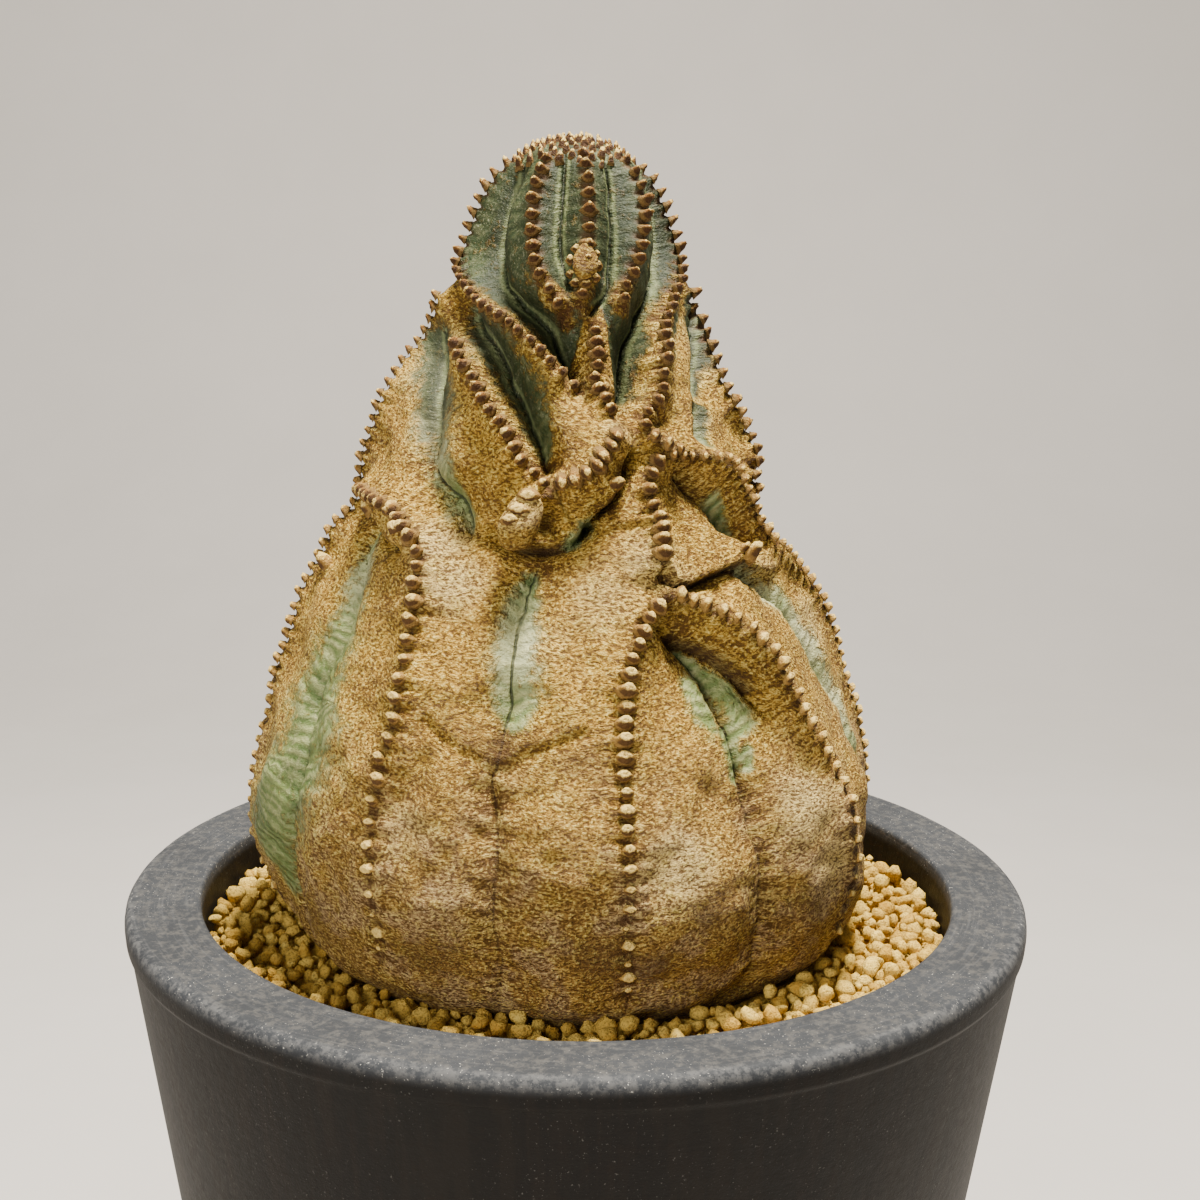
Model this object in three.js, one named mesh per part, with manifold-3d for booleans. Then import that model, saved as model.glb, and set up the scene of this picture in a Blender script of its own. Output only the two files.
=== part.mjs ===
// An old baseball plant (Euphorbia obesa) in a round plastic pot of fine clay grit.
// Millimetres, +Z up. The origin is the centre of the pot's foot, on the surface it stands on.
// The front of the plant faces -Y. Places on the plant are given as [azimuth, height]:
// degrees round the pot's axis from the front, positive towards +X, and millimetres above the rim.
import * as THREE from "three";
import { mergeVertices } from "three/addons/utils/BufferGeometryUtils.js";
import Module from "manifold-3d";

const wasm = await Module();
wasm.setup();

// ---- driving dimensions ----
const POT_HEIGHT = 130;
const RIM_RADIUS = 75;
const RIM_WIDTH = 12.2;
const RIM_BAND = 4.6;
const RIM_ROUND = 1.4;
const WALL_TOP_RADIUS = 74.3;
const WALL_TAPER = 0.145;
const WALL_THICKNESS = 3.5;
const FLOOR_THICKNESS = 3;
const FOOT_HEIGHT = 3;
const FOOT_WIDTH = 6;
const FOOT_BEVEL = 0.8;
const EDGE_BEVEL = 0.5;
const DRAIN_RADIUS = 8;
const POT_SIDES = 64;
const GAP = 0.4;

const SOIL_LEVEL = -6;
const SOIL_RINGS = 6;
const RING_STEP = 3.6;
const SOIL_SECTORS = 72;
const GRIT_RELIEF = 1;
const GRAIN_COUNT = 60;
const GRAIN_RADIUS = 1.8;
const GRAIN_LIFT = 0.35;

// The plant's skin is a mesh of rings and columns. Columns follow the ribs between two heights
// and are evenly spaced above a third. The relief fades out in the grit and on the crown.
const RIB_SECTORS = 16;
const COLUMNS_PER_SECTOR = 4;
const COLUMNS = RIB_SECTORS * COLUMNS_PER_SECTOR;
const FIRST_COLUMN = -8;
const BURIED_ROWS = 4;
const SHOWN_ROWS = 36;
const BURIED_BELOW = -9.5;
const RIBBED_FROM = 3;
const RIBBED_TO = 52;
const EVEN_FROM = 44;
const EVEN_TO = 66;
const RELIEF_NONE = -14.5;
const RELIEF_FULL = -4.5;
const CROWN_FROM = 115;
const CROWN_TO = 120.6;

const TUBERCLE_STEP = 2.25;
const TUBERCLE_HEIGHT = 1.3;
const TUBERCLE_ROOT = 0.8;
const TUBERCLE_HALF_WIDTH = 2.2;
const TUBERCLE_UPHILL = 0.7;
const TUBERCLE_DOWNHILL = 1.6;
const TIP_UPHILL = 0.2;
const SIZE_SPREAD = 0.24;

// Half of the body's outline, as [radius, height above the rim], from the buried root to the crown.
const OUTLINE = [
  [0, -30], [11, -29], [20, -24], [29, -17], [36.5, -12], [42.8, -7], [47, -2.5], [49.1, 3],
  [50.6, 9], [51.2, 16], [50.4, 23], [47.3, 31.5], [43.8, 40], [40.4, 48.5], [35.7, 57], [31, 65],
  [29.2, 73], [26.7, 81.5], [23, 89], [20.4, 93.4], [18, 97.4], [15.8, 103.5], [13.6, 111],
  [11, 116.3], [8.2, 119.6], [4.4, 121.5], [0, 122],
];
const ROOT_HEIGHT = OUTLINE[0][1];
const CROWN_HEIGHT = OUTLINE[OUTLINE.length - 1][1];
const [CROWN_EDGE_RADIUS, CROWN_EDGE_HEIGHT] = OUTLINE[OUTLINE.length - 3];

// The body leans a little: its middle, as [height, shift along X].
const LEAN = [
  [-30, -1.2], [5, -1.2], [14, -2], [27, -2.2], [40, -2.7], [48, -3.5], [61, -3.4], [75, -3.7],
  [89, -3], [101, -2.1], [122, -1.7],
];
// A row of tubercles stands along each rib. crest is how high the rib is raised under the row's
// first and last place, and spread is how much wider apart the tubercles stand at its lower end.
const ROWS = {
  left: {
    count: 48, size: 0.85, crest: [1.7, 1.5], width: 4, spread: 0.15,
    path: [
      [-86, 97], [-87, 88], [-85, 80], [-85, 73], [-86, 67], [-87, 60], [-88, 54], [-87, 46],
      [-85, 36], [-85, 25], [-82, 15], [-80, 7], [-80, 0],
    ],
  },
  frontLeft: {
    count: 31, size: 1.05, crest: [2.8, 0.7], width: 3.4, spread: 0.3,
    path: [
      [-73, 67.5], [-60, 67.2], [-50, 66.4], [-43.4, 64.2], [-36, 61], [-32.6, 58], [-31.4, 52],
      [-30.6, 46], [-30.6, 40], [-32, 34], [-33.2, 26], [-32.4, 18], [-32.2, 10], [-34.6, 2],
    ],
  },
  front: {
    count: 24, size: 1.05, crest: [2, 0.5], width: 3.6, spread: 0.2,
    path: [
      [23.5, 54.6], [19, 51.8], [15.5, 47.5], [13, 42], [12, 36], [11, 28], [11, 20], [10.5, 10],
      [11, -1],
    ],
  },
  frontRight: {
    count: 25, size: 0.95, crest: [4, 1.2], width: 3, spread: 0.2,
    path: [
      [26, 55.6], [33, 54], [39, 51.6], [44, 48.2], [47.8, 44.8], [49, 41], [50.8, 37],
      [53.6, 33.4], [56, 29], [58.2, 24.6], [58, 19], [59, 12], [59.4, 6], [59, 0],
    ],
  },
  right: {
    count: 44, size: 0.85, crest: [2.8, 1.4], width: 3.2, spread: 0.1,
    path: [
      [33, 75.6], [42, 75.2], [51, 74.5], [59.6, 72.8], [65, 70.2], [68.4, 66.6], [70, 62.8],
      [74, 59.6], [80, 56.8], [86, 52.6], [91, 46], [94, 38], [97, 28], [102, 14], [105, 2],
    ],
  },
  column: {
    count: 9, size: 1.05, crest: [2.2, 2], width: 3, spread: 0,
    path: [
      [32, 75.4], [27, 73.2], [25, 70.6], [26.2, 66.6], [26, 62.6], [24.8, 59.8], [25.8, 57.5],
    ],
  },
  vLeft: {
    count: 13, size: 1, crest: [2.6, 3.4], width: 2.6, spread: 0,
    path: [
      [-45, 91], [-37, 88.2], [-30, 85.8], [-24.5, 83.2], [-16, 79.6], [-10, 75.6], [-2, 71.2],
    ],
  },
  vRight: {
    count: 7, size: 1.05, crest: [3.2, 3], width: 2.6, spread: 0,
    path: [
      [0, 71.8], [5, 72.5], [10, 73.8], [14, 76.6], [17, 79],
    ],
  },
  headLeft: {
    count: 24, size: 0.8, crest: [1.2, 3], width: 2.4, spread: 0,
    path: [
      [-80, 118.6], [-83, 114], [-86, 109], [-84, 105], [-77, 102], [-64, 100], [-47, 97.4],
      [-30, 95], [-18, 92.8], [-7, 90], [0, 87.7], [7, 86],
    ],
  },
  headFrontLeft: {
    count: 11, size: 0.8, crest: [0.9, 2.4], width: 2.2, spread: 0,
    path: [
      [-27, 119.6], [-24.6, 116.4], [-24, 113], [-21.4, 109.4], [-18.6, 106], [-15, 102.8],
      [-10.8, 100], [-4.6, 97.6], [0, 96],
    ],
  },
  headFront: {
    count: 10, size: 0.8, crest: [0.9, 1.6], width: 2.2, spread: 0,
    path: [
      [11, 120.4], [10.5, 116], [10, 110], [8, 104], [6.5, 97],
    ],
  },
  neck: {
    count: 8, size: 0.95, crest: [1.8, 2.2], width: 2.2, spread: 0,
    path: [
      [13, 94.2], [13, 90], [12.5, 86], [17, 81.6],
    ],
  },
  headFrontRight: {
    count: 11, size: 0.8, crest: [0.9, 2.4], width: 2.2, spread: 0,
    path: [
      [57, 119.4], [52.4, 115.4], [50.2, 112.4], [45.8, 109.8], [41, 107], [36, 104], [30.4, 101],
      [25, 98.8], [25.2, 96.6],
    ],
  },
  headRight: {
    count: 26, size: 0.85, crest: [1.2, 3.2], width: 2.4, spread: 0,
    path: [
      [92, 118.4], [92, 112], [90, 107], [83, 103.6], [73, 101], [62, 98.6], [55, 96.6], [46, 94],
      [40.6, 91.2], [36.8, 87.6], [34.4, 84.4], [29.4, 82.2], [26.6, 80.4], [28, 78.4], [39, 75.8],
    ],
  },
  shoulder: {
    count: 16, size: 0.9, crest: [2.2, 1], width: 2.6, spread: 0,
    path: [
      [92, 99], [90, 94.4], [84, 90.6], [81, 87], [81, 83.4], [84, 80], [88, 76.4], [85, 73],
      [80, 70.4], [81, 66.6],
    ],
  },
  backRight: {
    count: 50, size: 0.9, crest: [1.2, 1.6], width: 3.4, spread: 0.2,
    path: [
      [128, 118.6], [129, 110], [126, 101], [121, 92], [123, 82], [131, 73], [138, 64], [143, 52],
      [146, 38], [144, 24], [141, 11], [140, -1],
    ],
  },
  headBack: {
    count: 18, size: 0.85, crest: [1.2, 2], width: 2.6, spread: 0,
    path: [
      [167, 119], [168, 110], [165, 101], [160, 92], [161, 84], [166, 78], [174, 74],
    ],
  },
  back: {
    count: 32, size: 0.95, crest: [2, 1.2], width: 3.6, spread: 0.2,
    path: [
      [176, 66], [183, 62], [187, 54], [188, 43], [186, 31], [184, 18], [187, 7], [188, -1],
    ],
  },
  headBackLeft: {
    count: 21, size: 0.85, crest: [1.2, 2.4], width: 2.8, spread: 0,
    path: [
      [206, 118.8], [205, 110], [207, 101], [212, 93], [209, 85], [201, 79], [192, 75], [182, 73],
    ],
  },
  backLeft: {
    count: 48, size: 0.9, crest: [1.2, 1.6], width: 3.4, spread: 0.2,
    path: [
      [241, 118.6], [240, 110], [242, 101], [246, 92], [244, 82], [239, 73], [233, 63], [229, 52],
      [230, 38], [233, 25], [232, 12], [230, 0],
    ],
  },
};

// Creases run down the valleys between the ribs. valley is the broad hollow round the crease. Both
// depths are given at the first and last place of the path.
const CREASES = {
  leftLower: {
    depth: [2.4, 1.1], width: 0.8, valley: [2.4, 1.5], reach: 6,
    path: [
      [-71, 63], [-69, 60], [-63.6, 56], [-60, 51.6], [-58.6, 46.6], [-60, 42], [-61.4, 37],
      [-59, 31], [-57.4, 25], [-57.8, 17], [-60.2, 9.6], [-64, 1],
    ],
  },
  frontLower: {
    depth: [1.6, 0.5], width: 0.7, valley: [1.6, 1.4], reach: 6,
    path: [
      [-4.9, 60], [-6.6, 56], [-7.9, 52.6], [-8.6, 45.4], [-10, 38.6], [-10.8, 34.4], [-12.4, 31.6],
      [-10.6, 25.2], [-10.4, 19], [-11, 12], [-10.8, 5], [-12, -3],
    ],
  },
  frontRightLower: {
    depth: [2.4, 0.8], width: 0.8, valley: [2.4, 1.7], reach: 6,
    path: [
      [29.2, 51.2], [32.4, 47], [34, 43.2], [34.5, 40], [35.1, 36.6], [35.1, 31.7], [35.6, 25],
      [36.4, 16.4], [36.2, 6], [37.6, -3],
    ],
  },
  rightLower: {
    depth: [1.8, 1], width: 0.9, valley: [1.2, 1.3], reach: 5,
    path: [
      [52, 58], [62, 55.2], [69, 51.2], [73, 46], [75.6, 40.8], [78.4, 35.6], [79.6, 29], [81, 20],
      [84, 10], [86, 0],
    ],
  },
  rightMiddle: {
    depth: [2.4, 2.4], width: 0.9, valley: [2.4, 2.6], reach: 3.6,
    path: [
      [42, 72.6], [46, 70.6], [52, 67.7], [56.4, 64.8], [62.6, 61.4],
    ],
  },
  rightSlit: {
    depth: [2, 2], width: 0.8, valley: [1.4, 1.4], reach: 2.6,
    path: [
      [58.4, 82.2], [53.7, 77.4],
    ],
  },
  vLeft: {
    depth: [2.4, 4], width: 0.8, valley: [2.6, 4.4], reach: 3.4,
    path: [
      [-66, 96.8], [-51, 95.2], [-36, 92.4], [-24.4, 88.4], [-17.6, 85.3], [-11.3, 81.6],
      [-5.5, 77.1], [-3.3, 74.2],
    ],
  },
  leftUpper: {
    depth: [1.2, 2.6], width: 0.8, valley: [1, 3], reach: 4,
    path: [
      [-76, 92.6], [-68.6, 90.6], [-58.8, 87.2], [-51.6, 83.2], [-48, 78.8], [-45.2, 75.2],
      [-41.4, 71.8], [-32, 68.8], [-27.6, 65.4],
    ],
  },
  headLeft: {
    depth: [1.1, 4], width: 0.6, valley: [0.9, 4], reach: 3,
    path: [
      [-56, 119], [-58, 113], [-56, 107.4], [-45.6, 102.2], [-34, 99], [-20, 97.2], [-8.4, 95.2],
      [-1.6, 92], [3, 89], [7, 86.2],
    ],
  },
  headFront: {
    depth: [1, 1.6], width: 0.6, valley: [0.8, 1.6], reach: 2.8,
    path: [
      [-10, 120], [-8, 113], [-7, 107], [-4, 103.4], [2, 100],
    ],
  },
  headFrontRight: {
    depth: [1, 1.6], width: 0.6, valley: [0.8, 1.6], reach: 2.8,
    path: [
      [30, 119.6], [31, 115], [28, 109], [23.5, 103], [18, 98.6], [12, 96.6],
    ],
  },
  headRight: {
    depth: [0.7, 3.8], width: 0.6, valley: [0.5, 3.8], reach: 3,
    path: [
      [80, 119.4], [80, 113], [76, 107], [63, 102.2], [51, 98.2], [38.6, 95.4], [30.4, 92],
      [25.6, 86.4], [22.4, 83.2],
    ],
  },
  rightUpper: {
    depth: [1.4, 1.8], width: 0.8, valley: [1.6, 1.8], reach: 3.4,
    path: [
      [90, 96], [79, 91.6], [69, 87], [62.6, 84.4],
    ],
  },
  headBackRight: {
    depth: [1.2, 2], width: 0.7, valley: [1, 2], reach: 3,
    path: [
      [108, 119.4], [109, 110], [107, 101], [103, 92], [104, 82], [108, 74],
    ],
  },
  backRightLower: {
    depth: [2, 1.1], width: 0.9, valley: [2.4, 1.6], reach: 7,
    path: [
      [112, 62], [118, 52], [122, 40], [123, 26], [122, 12], [121, -3],
    ],
  },
  headBack: {
    depth: [1.2, 2], width: 0.7, valley: [1, 2], reach: 3,
    path: [
      [147, 119.6], [148, 110], [146, 101], [142, 91], [145, 82], [151, 73],
    ],
  },
  backLower: {
    depth: [2, 1.1], width: 0.9, valley: [2.4, 1.6], reach: 7,
    path: [
      [158, 66], [164, 54], [167, 41], [166, 27], [163, 13], [164, -3],
    ],
  },
  headBackLeft: {
    depth: [1.2, 2], width: 0.7, valley: [1, 2], reach: 3,
    path: [
      [187, 119.6], [187, 110], [186, 101], [186, 92], [184, 84], [181, 77],
    ],
  },
  backLeftLower: {
    depth: [2, 1.1], width: 0.9, valley: [2.4, 1.6], reach: 7,
    path: [
      [206, 68], [209, 55], [208, 42], [210, 28], [209, 13], [208, -3],
    ],
  },
  headSideLeft: {
    depth: [1.2, 2], width: 0.7, valley: [1, 2], reach: 3,
    path: [
      [223, 119.4], [223, 110], [225, 101], [229, 92], [227, 83], [221, 75],
    ],
  },
  headFarLeft: {
    depth: [1.2, 2], width: 0.7, valley: [1, 2], reach: 3,
    path: [
      [257, 119], [256, 110], [258, 101], [262, 92], [260, 82], [257, 72],
    ],
  },
  leftBackLower: {
    depth: [2, 1.1], width: 0.9, valley: [2.4, 1.6], reach: 7,
    path: [
      [255, 64], [253, 53], [252, 40], [254, 27], [253, 13], [252, -3],
    ],
  },
};

// A fold is a slit whose upper lip hangs over it.
const FOLDS = [
  {
    lift: 2.4, depth: 3,
    path: [
      [-18, 64.8], [-12, 63.6], [-6, 63], [1, 63.2], [6, 64.4], [9, 66.1],
    ],
  },
  {
    lift: 1.2, depth: 3.8,
    path: [
      [9, 66.1], [12, 67.8], [16, 69.4], [19, 72.4], [22, 75.8],
    ],
  },
  {
    lift: 2, depth: 2.8,
    path: [
      [25, 58.4], [30, 56.8], [42, 58], [55, 58.6], [66, 56],
    ],
  },
  {
    lift: 0.3, depth: 0.6,
    path: [
      [-25, 39], [-21.6, 37], [-17.4, 35.5], [-13.8, 34.5], [-10.7, 33.6], [-7.4, 35], [-3, 36.3],
      [5, 38.4],
    ],
  },
  {
    lift: 1.8, depth: 2.6,
    path: [
      [-66, 64.6], [-53, 61.8], [-44, 60.6],
    ],
  },
  {
    lift: 1.6, depth: 2.6,
    path: [
      [23.6, 52.4], [27, 51.4], [32, 50], [37, 47.8], [40.4, 45.4], [43, 42.4], [45, 39.4],
    ],
  },
  {
    lift: 1.2, depth: 1.8,
    path: [
      [-34, 99.8], [-19, 98], [-8, 96.4], [3, 95], [9, 94.6],
    ],
  },
  {
    lift: 2, depth: 2.4,
    path: [
      [152, 71], [164, 70], [176, 69.6], [190, 69], [203, 70],
    ],
  },
  {
    lift: 1.4, depth: 1.8,
    path: [
      [196, 48], [206, 45.6], [217, 47],
    ],
  },
  {
    lift: 1.4, depth: 1.8,
    path: [
      [104, 68], [116, 67], [126, 69],
    ],
  },
];
const FOLD_REACH = 3.6;

const SLIT_WIDTH = 0.7;

// The old skin is uneven: lattices of random rises, which fade on the young head.
const UNEVENNESS = [
  { size: 12, rise: 0.9, seed: 1 },
  { size: 6, rise: 0.7, seed: 2 },
];
const YOUNG_FROM = 88;
const YOUNG_TO = 98;
const YOUNG_SHARE = 0.1;

// Swellings and dimples, as place, radius along the surface and height (negative sinks in).
const SWELLINGS = [
  { at: [-8, 67.4], radius: 3.4, height: 0.8 },
  { at: [-2.6, 66.4], radius: 1.9, height: -0.9 },
  { at: [-14, 66.6], radius: 2, height: -0.7 },
  { at: [53.6, 59.6], radius: 2.6, height: 2.2 },
  { at: [-81, 96.4], radius: 3.6, height: 1.2 },
  { at: [-88, 58.6], radius: 3.4, height: 1.5 },
  { at: [-68, 61], radius: 3, height: -1.4 },
  { at: [92, 95.6], radius: 3.4, height: 1.3 },
  { at: [94, 67], radius: 2.4, height: -1.2 },
  { at: [-80, 62], radius: 8, height: 0.8 },
  { at: [23, 65.4], radius: 5, height: 1.5 },
  { at: [11, 60], radius: 6, height: 0.8 },
  { at: [46, 66], radius: 6, height: 1.2 },
  { at: [47, 54], radius: 4, height: 1.4 },
  { at: [29.4, 48.8], radius: 3.4, height: -1.6 },
  { at: [35.6, 45.4], radius: 3.6, height: -1.4 },
  { at: [42, 40], radius: 4.2, height: -1 },
  { at: [19.4, 74.2], radius: 1.6, height: -1.6 },
  { at: [4, 105], radius: 8, height: 1.2 },
  { at: [7, 102.8], radius: 2.4, height: 0.8 },
  { at: [-14, 101], radius: 5, height: 1 },
  { at: [8, 99], radius: 4, height: 0.8 },
  { at: [11, 91.6], radius: 4.5, height: -1.4 },
  { at: [-20, 46], radius: 7, height: 0.9 },
  { at: [2, 46], radius: 7, height: 0.8 },
  { at: [-19, 27], radius: 6, height: 1 },
  { at: [-1, 27], radius: 6, height: 1 },
  { at: [-13, 33], radius: 2.2, height: 0.6 },
  { at: [-12, 24], radius: 3, height: -1.2 },
  { at: [28, 28.4], radius: 3.2, height: -1.2 },
  { at: [-24, 12], radius: 12, height: 1 },
  { at: [1, 12], radius: 10, height: 0.9 },
  { at: [23, 14], radius: 11, height: 1 },
  { at: [50, 14], radius: 13, height: 1.2 },
  { at: [-66, 14], radius: 13, height: 0.6 },
  { at: [170, 62], radius: 7, height: 1.4 },
  { at: [199, 74], radius: 5, height: 1.6 },
  { at: [142, 12], radius: 14, height: 1 },
  { at: [186, 14], radius: 14, height: 1 },
  { at: [231, 12], radius: 14, height: 1 },
];

// Corky lumps over old wounds: eggs that lie on the skin, turned from upright.
const SCARS = [
  { at: [-7.9, 66.4], halfWidth: 2.9, halfLength: 4.8, thickness: 3.2, turn: 24, lift: 3 },
  { at: [7, 102.8], halfWidth: 1.9, halfLength: 2.7, thickness: 0.9, turn: 2, lift: 0 },
];
const SCAR_DETAIL = 2;

// Tubercles that stand alone; lift raises one onto the top of a scar.
const SINGLE_TUBERCLES = [
  { at: [-82, 54.4], size: 1.1, height: 2 },
  { at: [53.4, 59.6], size: 1.3, height: 1.6 },
  { at: [16, 72], size: 1, height: 1.2 },
  { at: [-74, 64.6], size: 1.1, height: 1.2 },
  { at: [-6, 70.2], size: 1, height: 0.9, lift: 4 },
  { at: [-7.9, 68], size: 1, height: 0.9, lift: 5.4 },
  { at: [-9.6, 65.8], size: 0.9, height: 0.8, lift: 5.8 },
];

// The rings of young tubercles on the crown, about the growing point.
const CROWN_RINGS = [
  { radius: 0.3, count: 1, turn: 0, size: 0.7, height: 1.9 },
  { radius: 3.2, count: 5, turn: 20, size: 0.8, height: 1.8 },
  { radius: 6, count: 8, turn: 5, size: 0.85, height: 1.7 },
];

// ---- small tools ----
const RAD = Math.PI / 180;
const UP = new THREE.Vector3(0, 0, 1);
const bell = (distance, width) => Math.exp(-((distance / width) ** 2));
const { clamp, lerp, smoothstep } = THREE.MathUtils;

// A repeatable random stream from 0 to 1.
function stream(seed) {
  let state = seed;
  return () => {
    state = (state * 1664525 + 1013904223) % 4294967296;
    return state / 4294967296;
  };
}

// The random value, from -1 to 1, of one corner of a lattice of cubes.
function cornerValue(x, y, z, seed) {
  const place = (BigInt(x) * 73856093n) ^ (BigInt(y) * 19349663n) ^ (BigInt(z) * 83492791n);
  const mixed = place ^ (BigInt(seed) * 50331653n);
  const scrambled = ((mixed ^ (mixed >> 13n)) * 1274126177n) & 0xffffffffn;
  return Number((scrambled ^ (scrambled >> 16n)) & 0xffffn) / 32767.5 - 1;
}

// A smooth random number for a point, blended between the eight corners of its cube.
function unevenness(point, size, seed) {
  const cell = point.clone().divideScalar(size);
  const low = cell.clone().floor();
  const [x, y, z] = cell.sub(low).toArray().map((share) => smoothstep(share, 0, 1));
  const corner = (i, j, k) => cornerValue(low.x + i, low.y + j, low.z + k, seed);
  const edge = (j, k) => lerp(corner(0, j, k), corner(1, j, k), x);
  return lerp(lerp(edge(0, 0), edge(1, 0), y), lerp(edge(0, 1), edge(1, 1), y), z);
}

// A point list read as a smooth curve through its points.
function smooth(points, steps) {
  const curve = new THREE.SplineCurve(points.map(([x, y]) => new THREE.Vector2(x, y)));
  return curve.getPoints(steps);
}

// The value at x of a list of [x, y] pairs, on straight lines between them.
function ramp(pairs, x) {
  const last = pairs.length - 1;
  if (x <= pairs[0][0]) return pairs[0][1];
  if (x >= pairs[last][0]) return pairs[last][1];
  const i = pairs.findIndex((pair) => pair[0] > x);
  const [x0, y0] = pairs[i - 1];
  const [x1, y1] = pairs[i];
  return y0 + ((y1 - y0) * (x - x0)) / (x1 - x0);
}

const OUTLINE_FINE = smooth(OUTLINE, 360);
const OUTLINE_BY_HEIGHT = OUTLINE_FINE.map((p) => [p.y, Math.max(p.x, 0)]);

// A geometry from a flat list of coordinates and one of triangles.
function geometryOf(positions, triangles) {
  const geometry = new THREE.BufferGeometry();
  geometry.setAttribute("position", new THREE.Float32BufferAttribute(positions, 3));
  geometry.setIndex(triangles);
  return geometry;
}

// A closed geometry as a solid that can be joined and cut.
function solidFrom(geometry) {
  const bare = geometry.clone();
  bare.deleteAttribute("normal");
  bare.deleteAttribute("uv");
  const merged = mergeVertices(bare, 1e-4);
  const vertProperties = merged.attributes.position.array;
  const triVerts = new Uint32Array(merged.index.array);
  return new wasm.Manifold(new wasm.Mesh({ numProp: 3, vertProperties, triVerts }));
}

// The largest closed surface of a solid, without loose scraps or hollows sealed by the joining.
function mainBody(solid) {
  return solid.decompose().sort((a, b) => b.volume() - a.volume())[0];
}

// A solid back as a geometry with flat faces.
function geometryFrom(solid) {
  const mesh = solid.getMesh();
  const geometry = geometryOf(mesh.vertProperties, [...mesh.triVerts]).toNonIndexed();
  geometry.computeVertexNormals();
  return geometry;
}

// ---- the plant's skin ----
// The plain body, before ribs and creases: a round section of the outline's radius.
function plainPoint(azimuth, height, radius) {
  const angle = azimuth * RAD;
  const x = ramp(LEAN, height) + radius * Math.sin(angle);
  return new THREE.Vector3(x, -radius * Math.cos(angle), height);
}

function plainPointAt([azimuth, height]) {
  return plainPoint(azimuth, height, ramp(OUTLINE_BY_HEIGHT, height));
}

// A path on the body as a polyline in space, with the azimuth and height of each point.
function traced(path) {
  const places = smooth(path, (path.length - 1) * 4);
  return places.map((p) => ({ place: [p.x, p.y], point: plainPointAt([p.x, p.y]) }));
}

// The distance from a point to a traced path, which side of it the point is on (+1 above), and how
// far along the path the nearest place is, as a share of its length.
function distanceTo(line, point) {
  let nearest = Infinity;
  let side = 1;
  let passed = 0;
  let run = 0;
  const along = new THREE.Vector3();
  const offset = new THREE.Vector3();
  for (let i = 0; i + 1 < line.length; i++) {
    const start = line[i].point;
    along.subVectors(line[i + 1].point, start);
    offset.subVectors(point, start);
    const share = clamp(offset.dot(along) / along.lengthSq(), 0, 1);
    offset.addScaledVector(along, -share);
    const distance = offset.length();
    if (distance < nearest) {
      nearest = distance;
      side = offset.z >= 0 ? 1 : -1;
      passed = run + share * along.length();
    }
    run += along.length();
  }
  return { nearest, side, share: passed / run };
}

const TRACED_ROWS = Object.values(ROWS).map((row) => ({ ...row, line: traced(row.path) }));
const TRACED_CREASES = Object.values(CREASES).map((crease) => ({ ...crease, line: traced(crease.path) }));
const TRACED_FOLDS = FOLDS.map((fold) => ({ ...fold, line: traced(fold.path) }));
const PLACED_SWELLINGS = SWELLINGS.map((s) => ({ ...s, point: plainPointAt(s.at) }));

// How far the skin stands out from the plain body: rib crests, less creases and their valleys,
// with lips and slits at the folds, single swellings and the unevenness of old skin. It fades out
// under the soil and at the crown.
function relief(point) {
  let crest = 0;
  for (const { line, crest: [first, last], width } of TRACED_ROWS) {
    const { nearest, share } = distanceTo(line, point);
    crest = Math.max(crest, lerp(first, last, share) * bell(nearest, width));
  }
  let groove = 0;
  let valley = 0;
  for (const { line, depth, width, valley: deep, reach } of TRACED_CREASES) {
    const { nearest, share } = distanceTo(line, point);
    groove = Math.max(groove, lerp(...depth, share) * Math.exp(-nearest / width));
    valley = Math.max(valley, lerp(...deep, share) * bell(nearest, reach));
  }
  let folded = 0;
  for (const { line, lift, depth } of TRACED_FOLDS) {
    const { nearest, side } = distanceTo(line, point);
    const lip = lift * Math.exp(-nearest / FOLD_REACH) * Math.min(nearest / SLIT_WIDTH, 1);
    const slit = (depth * (bell(nearest, FOLD_REACH / 2) + bell(nearest, SLIT_WIDTH))) / 2;
    folded += side > 0 ? lip : -slit;
  }
  let swollen = 0;
  for (const { point: middle, radius, height } of PLACED_SWELLINGS) {
    swollen += height * bell(point.distanceTo(middle), radius);
  }
  const young = smoothstep(point.z, YOUNG_FROM, YOUNG_TO);
  let uneven = 0;
  for (const { size, rise, seed } of UNEVENNESS) uneven += rise * unevenness(point, size, seed);
  uneven *= lerp(1, YOUNG_SHARE, young);
  const shown = smoothstep(point.z, RELIEF_NONE, RELIEF_FULL);
  const below = 1 - smoothstep(point.z, CROWN_FROM, CROWN_TO);
  return shown * below * (crest - groove - valley + folded + swollen + uneven);
}

// The outward direction of the plain body, from the slope of its outline.
function outward(azimuth, height) {
  const step = 0.4;
  const low = plainPointAt([azimuth, height - step]);
  const high = plainPointAt([azimuth, Math.min(height + step, CROWN_HEIGHT - 0.1)]);
  const up = high.sub(low);
  const around = new THREE.Vector3(Math.cos(azimuth * RAD), Math.sin(azimuth * RAD), 0);
  return around.cross(up).normalize();
}

function skinPoint(azimuth, height, extra = 0) {
  const point = plainPointAt([azimuth, height]);
  return point.clone().addScaledVector(outward(azimuth, height), relief(point) + extra);
}

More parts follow.
